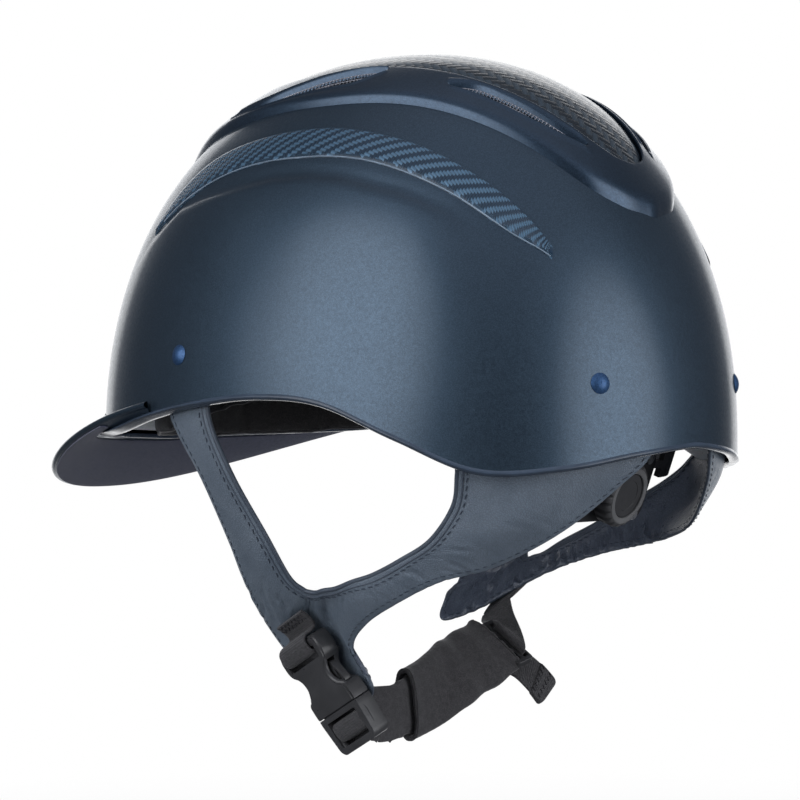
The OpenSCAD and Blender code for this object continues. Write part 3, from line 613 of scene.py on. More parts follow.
def make_frame():
    """The frame as rings round the crown: its inner wall, the vents' lips and its outer wall."""
    cols, top = 480, FRAME_H
    t = np.linspace(-180, 180, cols, endpoint=False)
    a = np.abs(t)
    out_r = np.interp(a, *polar([(0, -106.5), (12, -106.3)] + FRAME_EDGE + [(0, 109.4)]))
    in_r = np.interp(a, *polar([(0, -88)] + INLAY_EDGE + [(0, 99.2)]))
    vents = [(polar(v[0]), polar(v[1])) for v in (FRONT_VENT, REAR_VENT)]
    ends = [0] + [e for v in vents for e in (v[0][0][0], v[0][0][-1])] + [180]
    mid_r = (in_r + out_r) / 2
    tips = [(v[0][1][k] + v[1][1][k]) / 2 for v in vents for k in (0, -1)]
    plain = np.interp(a, ends, [0] + tips + [0])
    plain = np.where(a < ends[1], mix(mid_r, tips[0], ease(a, ends[1] - 22, ends[1])), plain)
    plain = np.where(a > ends[4], mix(tips[3], mid_r, ease(a, ends[4], ends[4] + 12)), plain)
    vi, vo, gap = plain.copy(), plain.copy(), np.zeros(cols)
    for inner, outer in vents:
        at = (a >= inner[0][0]) & (a <= inner[0][-1])
        vi[at] = np.interp(a[at], *inner)
        vo[at] = np.maximum(np.interp(a[at], *outer), vi[at])
        gap[at] = (vo - vi)[at]
    dip = ease(gap, 0.1, 1.4)
    lip_in = np.minimum(LIP_W, (vi - in_r) / 2.4)
    lip_out = np.minimum(LIP_W, (out_r - vo) / 2.6)
    bevel = np.minimum(BEVEL_W, (out_r - vo) / 2.6)
    rings = [(in_r + inset, h) for inset, h in ((0, 0.3), (0, 2.5), (0.35, 2.85), (0.9, top))]
    start, stop = in_r + 0.9, np.maximum(vi - lip_in, in_r + 1.0)
    rings += [(mix(start, stop, k), top) for k in (0.25, 0.5, 0.75, 1)]
    rings += [(vi - k * lip_in, top + rise * dip) for k, rise in LIP_PROFILE]
    split = len(rings)
    rings += [(vo + k * lip_out, top + rise * dip) for k, rise in LIP_PROFILE[::-1]]
    start, stop = vo + lip_out, out_r - bevel
    rings += [(mix(start, stop, k), top) for k in (0, 0.2, 0.4, 0.6, 0.8, 1)]
    rings += [(out_r - k * bevel, top - drop) for k, drop in ((0.55, 0.15), (0.2, 0.55), (0, 1.1))]
    rings += [(out_r + 0.05, 0.6), (out_r, -0.2)]
    radians = np.radians(t)
    grid = np.stack([on_dome(np.stack([r * np.sin(radians), -r * np.cos(radians)], -1), h) for r, h in rings])
    keep = np.ones((len(grid) - 1, cols), bool)
    keep[split - 1] = np.maximum(gap, np.roll(gap, -1)) < 0.05
    shape = Shape().grid(grid, wrap_cols=True, keep=keep, flat=grid[..., :2])
    shape.make("crown_frame", "helmet", "frame_paint", [FRAME_PAINT], ["centre_frame"], sharp=32)


def make_top_inlay():
    edge = np.array([(0.2, -88.0)] + [(x - 0.2, y) for x, y in INLAY_EDGE] + [(0.2, 99.0)])
    line = smooth(edge, 150)
    xy = between(mirrored(line), line, 48)
    across = np.linspace(-1, 1, 49)[None, :]
    grid = on_dome(xy, 1.7 - 0.9 * np.abs(across) ** 14)
    flat = np.stack([arc_across(xy[..., 0], xy[..., 1]), arc_back(0, xy[..., 1])], -1)
    shape = Shape().grid(grid, flat=flat)
    low = np.stack([on_dome(line, 0.8), on_dome(line, 0.0)])
    shape.grid(low).grid(low * [-1, 1, 1])
    shape.make("crown_inlay", "helmet", "carbon_dark", [CARBON_DARK], ["top_inlay"], sharp=60)


def make_side_inlay(side, name, node):
    low, high = (smooth(edge, 150) for edge in SIDE_INLAY)
    xy = between(low, high, 14)
    k = np.linspace(-1, 1, 15)[None, :]
    grid = on_dome(xy, 0.75 - 0.55 * np.abs(k) ** 6)
    flat = np.stack([arc_across(xy[..., 0], xy[..., 1]), arc_back(75, xy[..., 1])], -1)
    shape = Shape().grid(grid, flat=flat)
    for line in (low, high):
        shape.grid(np.stack([on_dome(line, 0.2), on_dome(line, -0.3)]))
    tube(shape, on_dome(low, 0.25)[6:-1:2], 0.32, 6, 1)
    shape.points = [p * [side, 1, 1] for p in shape.points]
    shape.make(name, "helmet", "carbon_blue", [CARBON_BLUE, INLAY_EDGE_PAINT], [node], sharp=60)


def make_vent_mesh(vent, side, name, node, cell=1.55, strand=0.55):
    """Perforated mesh in a shallow trough, with cells and strands of the sizes given."""
    length = np.linalg.norm(np.diff(on_dome(smooth(vent[0], 200)), axis=0), axis=1).sum()
    n, m = int(length / cell), 7
    k = np.linspace(0, 1, m + 1)[None, :]
    sink = 0.9 - 1.5 * np.sin(math.pi * k) ** 0.7
    shape = Shape().grid(on_dome(between(*(smooth(edge, n) for edge in vent), m), sink))
    shape.points = [p * [side, 1, 1] for p in shape.points]
    piece = shape.make(name, "helmet", "mesh_silver", [MESH_SILVER], [node], sharp=80)
    wire = piece.modifiers.new("strands", "WIREFRAME")
    wire.thickness = strand * MM
    wire.use_even_offset = False
    wire.use_boundary = True
    apply_modifiers(piece)


# ---------------------------------------------------------------- rim and peak

def make_rim():
    """Moulded strip under the edge; round the front of the opening it widens to a lip."""
    cols = 360
    t = np.linspace(0, 360, cols, endpoint=False)
    front = 1 - ease(np.abs((t + 540) % 360 - 180), 64, 92)
    profile = [(-3.2, 0), (-3.5, -1.0), (-3.3, -1.6), (-2.4, -1.9), (-1.4, -1.9), (-0.7, -1.7), (-0.1, -1.35),
               (0.3, -1.05), (0.45, -0.8), (0.45, -0.55), (0.35, -0.3), (0.3, -0.1), (0.2, 0.1), (0, 0.5)]
    grid = np.stack([shell_pt(t, edge_z(t), off + front * RIM_LIP * ease(off, -1, 1)) + [0, 0, dz]
                     for off, dz in profile])
    flat = np.broadcast_to(np.stack([t, 0 * t], -1), grid.shape[:2] + (2,))
    shape = Shape().grid(grid, wrap_rows=True, wrap_cols=True, flat=flat)
    shape.make("rim_strip", "helmet", "trim_gloss", [TRIM_GLOSS], ["rim_trim"], sharp=50)


def peak_edge_r(t):
    rad = np.radians(t)
    reach = 1 / np.hypot(np.sin(rad) / PEAK_HALF_W, np.cos(rad) / PEAK_FRONT)
    return np.maximum(plan_r(t, 1.2), reach)


def peak_edge_z(t):
    return PEAK_LOW + PEAK_RISE * (np.abs(peak_edge_r(t) * np.sin(np.radians(t))) / 90) ** 2.2


def peak_pt(t, s, root, edge, bow):
    r = mix(plan_r(t, 0.1), peak_edge_r(t), s)
    z = mix(edge, root, (1 - s) ** bow)
    rad = np.radians(t)
    return np.stack(np.broadcast_arrays(r * np.sin(rad), -r * np.cos(rad), z), -1)


def peak_root(t):
    return edge_z(t) + 1.5 + 10 * np.maximum(0, np.cos(np.radians(1.5 * t))) ** 1.5


def make_peak():
    """Each section runs out over the top, round the edge and back underneath."""
    t = np.linspace(-PEAK_SWEEP, PEAK_SWEEP, 181)[:, None]
    s = np.linspace(0, 1, 31)[None, :]
    top = peak_pt(t, s, peak_root(t), peak_edge_z(t) + 0.6, 1.8)
    low = peak_pt(t, s[:, ::-1], edge_z(t) + 0.3, peak_edge_z(t) - PEAK_T + 0.6, 1.25)
    half, middle = (top[:, -1] - low[:, 0]) / 2, (top[:, -1] + low[:, 0]) / 2
    out = unit((top[:, -1] - top[:, -2]) * [1, 1, 0])
    a = np.radians(np.linspace(90, -90, 9))[1:-1]
    round_edge = (middle[:, None] + np.sin(a)[None, :, None] * half[:, None]
                  + np.cos(a)[None, :, None] * 1.3 * out[:, None])
    grid = np.concatenate([top, round_edge, low], 1)
    shape = Shape().grid(grid, flat=grid[..., :2])
    shape.make("peak_shell", "helmet", "shell_paint", [SHELL_PAINT], ["peak"], sharp=60)
    t = np.linspace(-45, 45, 181)[:, None]
    s = mix(3.6 / (peak_edge_r(t) - plan_r(t, 0.1)), 0.955, np.linspace(0, 1, 25)[None, :])
    face = peak_pt(t, s, edge_z(t) + 0.3, peak_edge_z(t) - PEAK_T + 0.6, 1.25)
    lining = Shape()
    slab(lining, face - [0, 0, 0.5], 0.1, 0.45)
    lining.make("peak_underlay", "helmet", "lining_fabric", [LINING], ["peak_lining"], sharp=60)


# ---------------------------------------------------------------- foam

def prism(ring, low, high, place=None):
    """Closed prism over an outline."""
    n = len(ring)
    points = np.concatenate([np.pad(ring, ((0, 0), (0, 1)), constant_values=z) for z in (low, high)])
    sides = [[i, (i + 1) % n, (i + 1) % n + n, i + n] for i in range(n)]
    return (place(points) if place else points), sides + [list(range(n))[::-1], list(range(n, 2 * n))]


def combine(piece, points, faces, operation, paint=0):
    """Joins a closed solid to a piece with UNION, or takes it away with DIFFERENCE."""
    me = bpy.data.meshes.new("tool")
    me.from_pydata((np.asarray(points) * MM).tolist(), [], faces)
    for m in piece.data.materials:
        me.materials.append(m)
    me.polygons.foreach_set("material_index", [paint] * len(me.polygons))
    bm = bmesh.new()
    bm.from_mesh(me)
    bmesh.ops.recalc_face_normals(bm, faces=bm.faces)
    bm.to_mesh(me)
    bm.free()
    tool = add_object("tool", me)
    modifier = piece.modifiers.new("combine", "BOOLEAN")
    modifier.operation = operation
    modifier.solver = "EXACT"
    modifier.object = tool
    apply_modifiers(piece)
    bpy.data.objects.remove(tool)


def foam_off(z):
    """The foam stands clear of the harness low down and meets the shell higher up."""
    return mix(-STRAP_GAP, -SHELL_T - 0.2, np.clip((z - 45) / 25, 0, 1))


def make_foam():
    outer = dome_grid(30, 160, -SHELL_T - 0.2, 1.5, 0.99)
    t = np.degrees(np.arctan2(outer[..., 0], -outer[..., 1]))
    outer = shell_pt(t, outer[..., 2], foam_off(outer[..., 2]))
    inner = dome_grid(30, 160, -FOAM_DEPTH, 8, 0.99)
    shape = Shape().grid(np.concatenate([outer[::-1], inner]), wrap_cols=True)
    for grid in (outer, inner):
        shape.fan(grid[-1], grid[-1].mean(0))
    piece = shape.make("foam_core", "helmet", "foam_white", [FOAM, VENT_SHADE_BLACK], ["foam_liner"], sharp=30)
    # The cut walls of each vent hole take the second material, black: painted shade inside the holes.
    for vent in (FRONT_VENT, REAR_VENT):
        for side in (-1, 1):
            ring = np.concatenate([smooth(vent[0], 24), smooth(vent[1], 24)[::-1]]) * [side, 1]
            combine(piece, *prism(ring, 60, 170), "DIFFERENCE", 1)


# ---------------------------------------------------------------- harness

def tab_row(t_ear, t_out, z):
    return [shell_pt(mix(t_ear, t_out, k), z, -HARNESS_DEPTH).tolist() for k in (0, 0.5, 1)]


FRONT_TAB = [tab_row(75, 62, 42), tab_row(75, 62, 26), tab_row(75, 63, 10)]
REAR_TAB = [tab_row(132, 170, -3), tab_row(136, 169, 12), tab_row(148, 166, 32)]
LEFT_ROWS = FRONT_TAB + [
    [[100, -20, -12], [99, -29, -13], [96, -38, -14]],
    [[90, -11, -36], [88, -23, -38], [84, -34, -39]],
    [[81, -7, -52], [78, -21, -55], [72, -34, -59]],
    [[77, -3, -57], [64, -22, -70], [54, -33, -80]],
    [[76, 0, -58], [54, -15, -76], [43, -13, -107]],
    [[76, 3, -58], [55, -8, -77], [46, 2, -105]],
    [[77, 7, -57], [59, -1, -72], [52, 12, -96]],
    [[77, 13, -56], [67, 6, -68], [58, 7, -81]],
    [[78, 22, -53], [74, 20, -61], [67, 20, -70]],
    [[78, 32, -50], [75, 34, -56], [70, 37, -61]],
    [[78, 45, -44], [74, 52, -48], [69, 57, -52]],
    [[78, 59, -36], [72, 70, -40], [60, 76, -46]],
    [[79, 70, -23], [68, 87, -29], [47, 97, -33]],
    [[82, 74, -11], [62, 100, -15], [32, 113, -16]]] + REAR_TAB
RIGHT_ROWS = FRONT_TAB + [
    [[100, -20, -12], [99, -29, -13], [96, -38, -14]],
    [[91, -12, -34], [88, -24, -37], [84, -35, -40]],
    [[84, -8, -47], [80, -22, -53], [74, -34, -59]],
    [[81, -6, -51], [73, -23, -62], [64, -37, -71]],
    [[80, -4, -52], [70, -20, -66], [58, -33, -78]],
    [[80, -1, -51], [72, -12, -64], [64, -20, -73.5]],
    [[80, 4, -49.5], [76, -2, -57], [71, -5, -64.5]],
    [[80, 14, -44], [78, 14, -50], [75, 14, -55]],
    [[80, 30, -36.5], [78, 34, -42], [75, 37, -48]],
    [[80, 46, -27.5], [77, 52, -35.5], [71, 57, -44]],
    [[80, 59, -21], [73, 70, -30], [61, 77, -40]],
    [[80, 69, -15], [68, 87, -24.5], [47, 97, -33]],
    [[82, 74, -10], [62, 100, -15], [32, 113, -17]]] + REAR_TAB


def read(at, run, rows):
    """Values of rows, which are known at the lengths run, at the length at."""
    return np.array([np.interp(at, run, rows[:, k]) for k in range(3)])


def wrinkles(grid, count, depth, centre, reach, angle, spread):
    """Creases pressed into leather: each a short bent furrow with soft shoulders."""
    flat = lengths(grid)
    total = np.zeros(grid.shape[:2])
    for _ in range(count):
        at = centre + rng.normal(0, 1, 3) * reach
        near = np.linalg.norm(grid - at, axis=2)
        i, j = np.unravel_index(near.argmin(), near.shape)
        a = math.radians(angle + rng.normal(0, spread))
        d = flat - flat[i, j]
        run = d[..., 0] * math.cos(a) + d[..., 1] * math.sin(a)
        off = -d[..., 0] * math.sin(a) + d[..., 1] * math.cos(a) + 0.02 * run ** 2 * rng.normal(0, 1)
        size, wide = rng.uniform(4, 11), rng.uniform(0.7, 1.6)
        k = (off / wide) ** 2
        profile = 0.9 * np.exp(-k / 4) - 1.7 * np.exp(-k)
        total += depth * rng.uniform(0.4, 1) * np.exp(-(run / size) ** 2) * profile
    return total


def stitch_row(shape, grid, column, height, slant, radius, paint, pitch=3.3, long=2.1):
    """Stitches along the grid, column millimetres in from its first edge, or if negative from its last."""
    flat, n = lengths(grid), normals(grid)
    line, up = np.empty((len(grid), 3)), np.empty((len(grid), 3))
    for i, row in enumerate(grid):
        v = flat[i, :, 1]
        at = column if column >= 0 else v[-1] + column
        line[i], up[i] = read(at, v, row), read(at, v, n[i])
    run = np.concatenate([[0], np.cumsum(np.linalg.norm(np.diff(line, axis=0), axis=1))])
    k = np.linspace(-1, 1, 5)
    for s in np.arange(run[-1] * 0.03, run[-1] * 0.97, pitch):
        p = read(s, run, line)
        normal = unit(read(s, run, up))
        d = unit(read(min(s + 1, run[-1]), run, line) - p)
        lean = unit(d + slant * np.cross(normal, d))
        thread = p + np.outer(k, lean * long / 2) + np.outer(height - radius * k ** 2, normal)
        tube(shape, thread, radius * np.array([0.6, 1, 1.1, 1, 0.6]), 5, paint)


def make_harness(rows, side, name, node, steps):
    grid = patch(rows, steps, 28) * [side, 1, 1]
    flat = lengths(grid)
    v = flat[..., 1] / flat[..., -1:, 1]
    junction, rear_arm = np.array([66, -16, -66]) * [side, 1, 1], np.array([74, 40, -46]) * [side, 1, 1]
    shape = Shape()
    bumps = wrinkles(grid, count=34, depth=0.9, centre=junction, reach=[10, 13, 11], angle=35, spread=25)
    bumps += wrinkles(grid, count=40, depth=0.9, centre=rear_arm, reach=[6, 32, 8], angle=88, spread=16)
    bumps *= ease(flat[..., 1], 3.4, 7)
    soft = 0.5 * np.sin(flat[..., 0] / 9 + 2.5 * v) * np.sin(math.pi * v)
    grid = grid + (0.4 * soft)[..., None] * normals(grid)
    half = LEATHER_T / 2 * (1 - 0.45 * np.abs(2 * v - 1) ** 10)
    outer, inner = half + 0.55 * bumps, half - 1.4 * bumps
    outward = np.sign((normals(grid) * (grid - [0, 0, 20])).sum(-1).mean())
    if outward > 0:
        slab(shape, grid, outer, inner, (0, 1, 2))
    else:
        slab(shape, grid, inner, outer, (1, 0, 2))
    n = normals(grid) * outward
    ear, into = grid[:, 0], unit(grid[:, 1] - grid[:, 0])
    tube(shape, ear - 0.1 * into, 0.95, 8, 2)
    for face in (-1, 1):
        tube(shape, ear + 2.2 * into + face * (LEATHER_T / 2 - 0.15) * n[:, 0], 0.4, 8, 2)
    for column, slant, radius in ((3.8, 0.22, 0.24), (-2.8, 0.15, 0.16)):
        for face in (-1, 1):
            stitch_row(shape, grid, column, face * (LEATHER_T / 2 + 0.1), slant, radius, paint=3)
    shape.make(name, "helmet", "leather_navy", [LEATHER, LEATHER_IN, PIPING, THREAD], [node], sharp=60)


# ---------------------------------------------------------------- padded pieces

CLOTH_STEPS = 20


def swell(piece, voxel, cap, pressure=4):
    """Blows a padded piece up as cloth; no point moves further than cap millimetres."""
    skin = list(piece.data.materials)
    remesh = piece.modifiers.new("voxels", "REMESH")
    remesh.mode = "VOXEL"
    remesh.voxel_size = voxel * MM
    apply_modifiers(piece)
    start = points_of(piece.data)
    cloth = piece.modifiers.new("cloth", "CLOTH")
    cloth.settings.use_pressure = True
    cloth.settings.uniform_pressure_force = pressure
    cloth.settings.effector_weights.gravity = 0
    cloth.settings.quality = 4
    cloth.settings.bending_stiffness = 0.2
    cloth.point_cache.frame_start, cloth.point_cache.frame_end = 1, CLOTH_STEPS
    for number in range(1, CLOTH_STEPS + 1):
        bpy.context.scene.frame_set(number)
    depsgraph = bpy.context.evaluated_depsgraph_get()
    moved = points_of(piece.evaluated_get(depsgraph).data)
    piece.modifiers.clear()
    bpy.context.scene.frame_set(1)
    way = moved - start
    far = np.linalg.norm(way, axis=1, keepdims=True) + 1e-12
    piece.data.vertices.foreach_set("co", (start + way * np.minimum(1, cap * MM / far)).ravel())
    piece.modifiers.new("soften", "SMOOTH").iterations = 2
    piece.modifiers.new("finer", "SUBSURF").levels = 1
    apply_modifiers(piece)
    piece.data.materials.clear()
    for m in skin:
        piece.data.materials.append(m)
    piece.data.shade_smooth()
    return piece


def points_of(me):
    co = np.empty(len(me.vertices) * 3)
    me.vertices.foreach_get("co", co)
    return co.reshape(-1, 3)


def on_surface(piece, line, lift):
    """The line laid on a piece's surface, lift millimetres above it."""
    laid = []
    for p in np.asarray(line, float):
        _, spot, normal, _ = piece.closest_point_on_mesh(Vector(p * MM))
        laid.append(np.array(spot) / MM + lift * np.array(normal))
    return np.array(laid)


def piping(name, piece, body, slot, lines, radius, lift=0.1):
    """Cords laid on a padded piece."""
    shape = Shape()
    for line in lines:
        tube(shape, on_surface(piece, line, lift), radius, 8)
    shape.make(name, body, slot, [CHIN_BINDING], sharp=80)


def quilted(grid, thick, channel):
    """Closed pad either side of a grid, thin at its edges and at channels channel millimetres apart."""
    flat = lengths(grid)
    share = np.ones(grid.shape[:2])
    if channel:
        share = 0.45 + 0.55 * np.abs(np.sin(math.pi * flat[..., 0] / channel)) ** 0.35
    v = flat[..., 1] / flat[..., -1:, 1]
    share = share * (0.55 + 0.45 * (1 - np.abs(2 * v - 1) ** 6))
    shape = Shape()
    slab(shape, grid, thick / 2 * share, thick / 2 * share)
    return shape


def make_headband():
    t = np.linspace(-124.5, 124.5, 221)[:, None]
    up = np.linspace(-0.6, PAD_DROP - 0.4, 11)[None, :]
    grid = shell_pt(t, edge_z(t) + up, -FOAM_DEPTH - PAD_T / 2 - 0.6)
    piece = quilted(grid, PAD_T - 1.6, 41).make("brow_pad", "helmet", "liner_fabric", [PAD_FABRIC],
                                                ["headband_pad"])
    swell(piece, voxel=2.2, cap=1.2)
    lines = [grid[2:-2:2, 0] + [0, 0, -0.6], grid[2:-2:2, -1] + [0, 0, 0.6]]
    piping("brow_piping", piece, "helmet", "liner_fabric", lines, 0.8)


def make_crown_pad():
    edge = np.array([(15.5, -61), (35.5, -47.5), (45.3, -20), (45.3, 12), (35.5, 37.3), (15.5, 51)])
    line = smooth(edge, 60)
    grid = on_dome(between(mirrored(line), line, 48), -FOAM_DEPTH - 0.6 - PAD_T / 2 + 0.3)
    shape = Shape()
    slab(shape, grid, 1.9, 1.9)
    piece = shape.make("crown_cushion", "helmet", "liner_fabric", [PAD_FABRIC], ["crown_pad"])
    swell(piece, voxel=2.4, cap=1.0)
    lines = [grid[::2, 0], grid[::2, -1], grid[0, ::2], grid[-1, ::2], grid[:, 16], grid[:, 32]]
    piping("crown_piping", piece, "helmet", "liner_fabric", lines, 0.7)


def cradle_grid(x, y, z, n, m):
    u = np.linspace(-x, x, n + 1)[:, None]
    k = np.linspace(-1, 1, m + 1)[None, :]
    lift = z - np.maximum(0, np.abs(u) - 28) ** 2 / 60
    high = k * y * (1 - 0.3 * (np.abs(u) / x) ** 3)
    return in_dial(np.stack(np.broadcast_arrays(u, high, lift), -1))


def make_nape_pad():
    grid = cradle_grid(41.3, 14.3, -13.9, 40, 12)
    piece = quilted(grid, 2.8, 0).make("nape_cushion", "helmet", "liner_fabric", [PAD_FABRIC], ["nape_pad"])
    swell(piece, voxel=1.6, cap=0.7)
    around = np.concatenate([grid[:, 0], grid[-1, 1:], grid[::-1, -1][1:], grid[0, ::-1][1:]])
    piping("nape_piping", piece, "helmet", "liner_fabric", [around], 0.7)


# ---------------------------------------------------------------- chin strap

CHIN_SPINE = [((44, 3, -107), (0.1, 0.25, -1)), ((30, 2, -109), (0.05, 0.1, -1)),
              ((14, 0, -107), (0, 0.1, -1)), ((0, -1, -104), (0, 0.25, -1)),
              ((-18, -1, -98), (-0.1, 0.5, -0.85)),
              ((-34, -1, -92), (-0.2, 0.65, -0.7)), ((-45, 0, -87.4), (-0.2, 0.75, -0.6))]
SLIDER_AT = np.array([-52, 3, -86.2])
HINGE, SWING_AXIS = np.array([-69.9, -13.7, -72.7]), (0.130, 0.872, 0.471)


def frames(spine, u):
    """Centres, width directions and face directions along a list of [centre, width direction]."""
    centres, across = np.array([s[0] for s in spine], float), unit(np.array([s[1] for s in spine], float))
    c, x = along(centres, u), unit(along(across, u))
    d = along(centres, np.minimum(1, u + 0.02)) - along(centres, np.maximum(0, u - 0.02))
    return c, x, unit(np.cross(d, x))


def section(spine, width, thick, n, k, power=0.7):
    """Rings of a rounded section swept along a spine; width and thick may change along it."""
    u = np.linspace(0, 1, n + 1)
    c, x, y = (f[:, None] for f in frames(spine, u))
    q = np.radians((np.arange(k) + 0.5) * 360 / k)[None, :, None]
    wide, deep = (np.broadcast_to(size, n + 1)[:, None, None] / 2 for size in (width, thick))
    return (c + wide * np.sign(np.cos(q)) * np.abs(np.cos(q)) ** power * x
            + deep * np.sign(np.sin(q)) * np.abs(np.sin(q)) ** power * y)


def capped(rings, flat=None):
    """Solid through closed rings of points."""
    shape = Shape().grid(rings, wrap_cols=True, flat=flat)
    for ring in (rings[0], rings[-1]):
        shape.fan(ring, ring.mean(0))
    return shape


def make_chin_pad():
    shape = capped(section(CHIN_SPINE, 24.2, 2.7, 80, 28))
    piece = shape.make("chin_cushion", "chin_strap", "chin_fabric", [CHIN_FABRIC], ["chin_strap_pad"])
    swell(piece, voxel=1.3, cap=0.6)


def make_sleeve():
    """Padded tube round the chin strap, with soft folds where it's bunched towards the wearer's right."""
    spine = CHIN_SPINE[2:6] + [((-48.5, 0.5, -86.3), (-0.2, 0.76, -0.6))]
    steps, around = 60, 44
    u = np.linspace(0, 1, steps + 1)
    fold = np.sin(u * 26) * ease(u, 0.25, 0.7)
    flare = 1.1 * (1 - ease(u, 0, 0.12)) + 1.4 * ease(u, 0.86, 1)
    outer, inner = (section(spine, width + 0.8 * fold, thick + 0.9 * fold + flare, steps, around)
                    for width, thick in ((29.4, 9.2), (26.2, 5.4)))
    wave = np.sin(np.arange(around) * 2 * math.pi / around * 3 + u[:, None] * 9)
    ripple = (0.4 * wave * ease(u, 0.1, 0.5)[:, None])[..., None]
    outer, inner = (g + ripple * unit(g - g.mean(1, keepdims=True)) for g in (outer, inner))
    shape = Shape().grid(np.concatenate([outer, inner[::-1]]), wrap_rows=True, wrap_cols=True)
    piece = shape.make("strap_sleeve", "chin_strap", "chin_fabric", [CHIN_FABRIC], ["chin_sleeve"])
    swell(piece, voxel=1.1, cap=0.6, pressure=3)
    rings = [np.concatenate([outer[i], outer[i][:1]]) for i in (2, steps - 2)]
    piping("sleeve_binding", piece, "chin_strap", "chin_fabric", rings, 0.3, lift=0.0)


CORNER = 2.2                # radius of the corners at the end of each strap
HEM = 9                     # length at the end of a strap that's folded double


def webbing(name, body, spine, width, nodes=(), pitch=0.95, stitches=(), fold=0.0):
    """Flat webbing with a rib across it every pitch millimetres. Stitches are the places of sewn lines, as
    shares of its length, and fold is how much thicker each face is at a hem."""
    fine = np.linspace(0, 1, 1201)
    centres = along([s[0] for s in spine], fine)
    run = np.concatenate([[0], np.cumsum(np.linalg.norm(np.diff(centres, axis=0), axis=1))])
    n = int(run[-1] / pitch * 5)
    place = np.linspace(0, run[-1], n + 1)
    c, x, y = (f[:, None] for f in frames(spine, np.interp(place, run, fine)))
    q = np.radians((np.arange(28) + 0.5) * 360 / 28)[None, :]
    flat_x, flat_y = (np.sign(f(q)) * np.abs(f(q)) ** 0.3 for f in (np.cos, np.sin))
    rib = np.abs(np.sin(math.pi * place / pitch))[:, None]
    deep = WEBBING_T / 2 * (0.78 + 0.22 * rib) + fold * ease(place, run[-1] - HEM, run[-1] - HEM + 1)[:, None]
    frayed = 0.15 * rib * np.sign(flat_x)
    corner = np.clip(1 - (run[-1] - place) / CORNER, 0, 1)
    half = width / 2 - CORNER * (1 - np.sqrt(1 - corner ** 2))[:, None]
    grid = c + (half * flat_x - frayed)[..., None] * x + (deep * flat_y)[..., None] * y
    shape = capped(grid, np.stack(np.broadcast_arrays(place[:, None], width / 2 * flat_x), -1))
    for at in run[-1] * np.array(stitches):
        lift = WEBBING_T / 2 + fold * (at > run[-1] - HEM) + 0.05
        for face in (-1, 1):
            zigzag(shape, frames(spine, np.array([np.interp(at, run, fine)])), width, face * lift)
    shape.make(name, body, "webbing_black", [WEBBING, THREAD_BLACK], nodes, sharp=60)


def zigzag(shape, place, width, lift, depth=1.5, pitch=1.3):
    """Zigzag seam across webbing."""
    c, x, y = (f[0] for f in place)
    d = np.cross(x, y)
    k = np.arange(-width / 2 + 1, width / 2 - 1, pitch)
    swing = depth / 2 * np.where(np.arange(len(k)) % 2, 1, -1)
    tube(shape, c + np.outer(k, x) + np.outer(swing, d) + lift * y, 0.24, 5, 1)


def make_webbing():
    loop = [(5.2, 33, 3.2), (4.4, 29, 0.6), (2.6, 26, -0.6), (1.2, 24.8, 1), (0, 24.4, 4), (0, 22.4, 6),
            (0, 19, 5.9), (0, 17, 4), (0, 16.9, 0), (0, 17, -3.2)]
    webbing("buckle_webbing", "helmet", [(in_buckle(p), BUCKLE_X) for p in loop], WEBBING_W, ["buckle_loop"],
            stitches=(0.03, 0.10))
    wrap = [(0, -13.4, -6.4), (0, -12, -4), (0, -11.6, 0), (0, -11.8, 2.6), (0, -13.2, 3.4), (0, -16.6, 3.2),
            (0, -18.4, 2.0), (0, -19, -2), (0, -18.6, -6.4)]
    webbing("plug_strap", "chin_strap", [(in_buckle(p), BUCKLE_X) for p in wrap], WEBBING_W, ["plug_webbing"])
    tab = [((-78.5, -2.5, -57.2), (-0.3, 0.84, 0.45)), ((-74.8, -6.8, -63), (-0.25, 0.84, 0.45)),
           ((-70.6, -11.4, -69.8), (0, 0.86, 0.47)), (HINGE, SWING_AXIS)]
    webbing("strap_tab", "helmet", tab, 18, stitches=(0.08, 0.32))
    slot, across, through = SLIDER_AT + [-1.9, 0.4, 0.55], (0, 0.82, -0.57), np.array([0.34, 0.54, 0.77])
    hang = [(HINGE, SWING_AXIS), (HINGE + [3.5, 3.5, -4.5], (0.05, 0.85, 0.2)),
            (slot + 4.5 * through, across), (slot, across), (slot - 3.5 * through, across)]
    webbing("slider_strap", "chin_strap", hang, 18, ["slider_loop"])
    rows = [((-57, -5, -89), (-49, 3, -98)), ((-60, -2, -87), (-51, 6, -99)), ((-64, 3, -88), (-53, 9, -102)),
            ((-69, 10, -95), (-56, 13, -107)), ((-73, 15, -103), (-59, 16, -112))]
    ends = [((np.array(a) + b) / 2, np.subtract(b, a)) for a, b in np.array(rows, float)]
    webbing("strap_tail", "chin_strap", ends, 16.5, ["webbing_tail"], stitches=(0.72, 0.86), fold=0.7)


# ---------------------------------------------------------------- buckle, slider and dial

BUCKLE_AT = np.array([56, -4, -98.0])
PULL, BUCKLE_Z = unit([-26, 49, -83]), unit([0.914936, -0.149311, -0.374754])
BUCKLE_X = np.cross(-PULL, BUCKLE_Z)
DIAL_AT = np.array([0, 89.5, -17.9])


def in_buckle(p):
    """World place of a point in the buckle's frame: +Y towards the harness and +Z away from the wearer."""
    p = np.asarray(p, float)
    return BUCKLE_AT + p[..., :1] * BUCKLE_X - p[..., 1:2] * PULL + p[..., 2:] * BUCKLE_Z


def in_slider(p):
    p = np.asarray(p, float)
    axes = np.array([(0.9397, -0.1962, -0.2802), (0, 0.8192, -0.5736), (0.3420, 0.5390, 0.7698)])
    return SLIDER_AT + p @ axes


def in_dial(p):
    p = np.asarray(p, float)
    s, c = math.sin(math.radians(DIAL_TILT)), math.cos(math.radians(DIAL_TILT))
    return DIAL_AT + p @ np.array([(1, 0, 0), (0, -s, -c), (0, c, -s)])


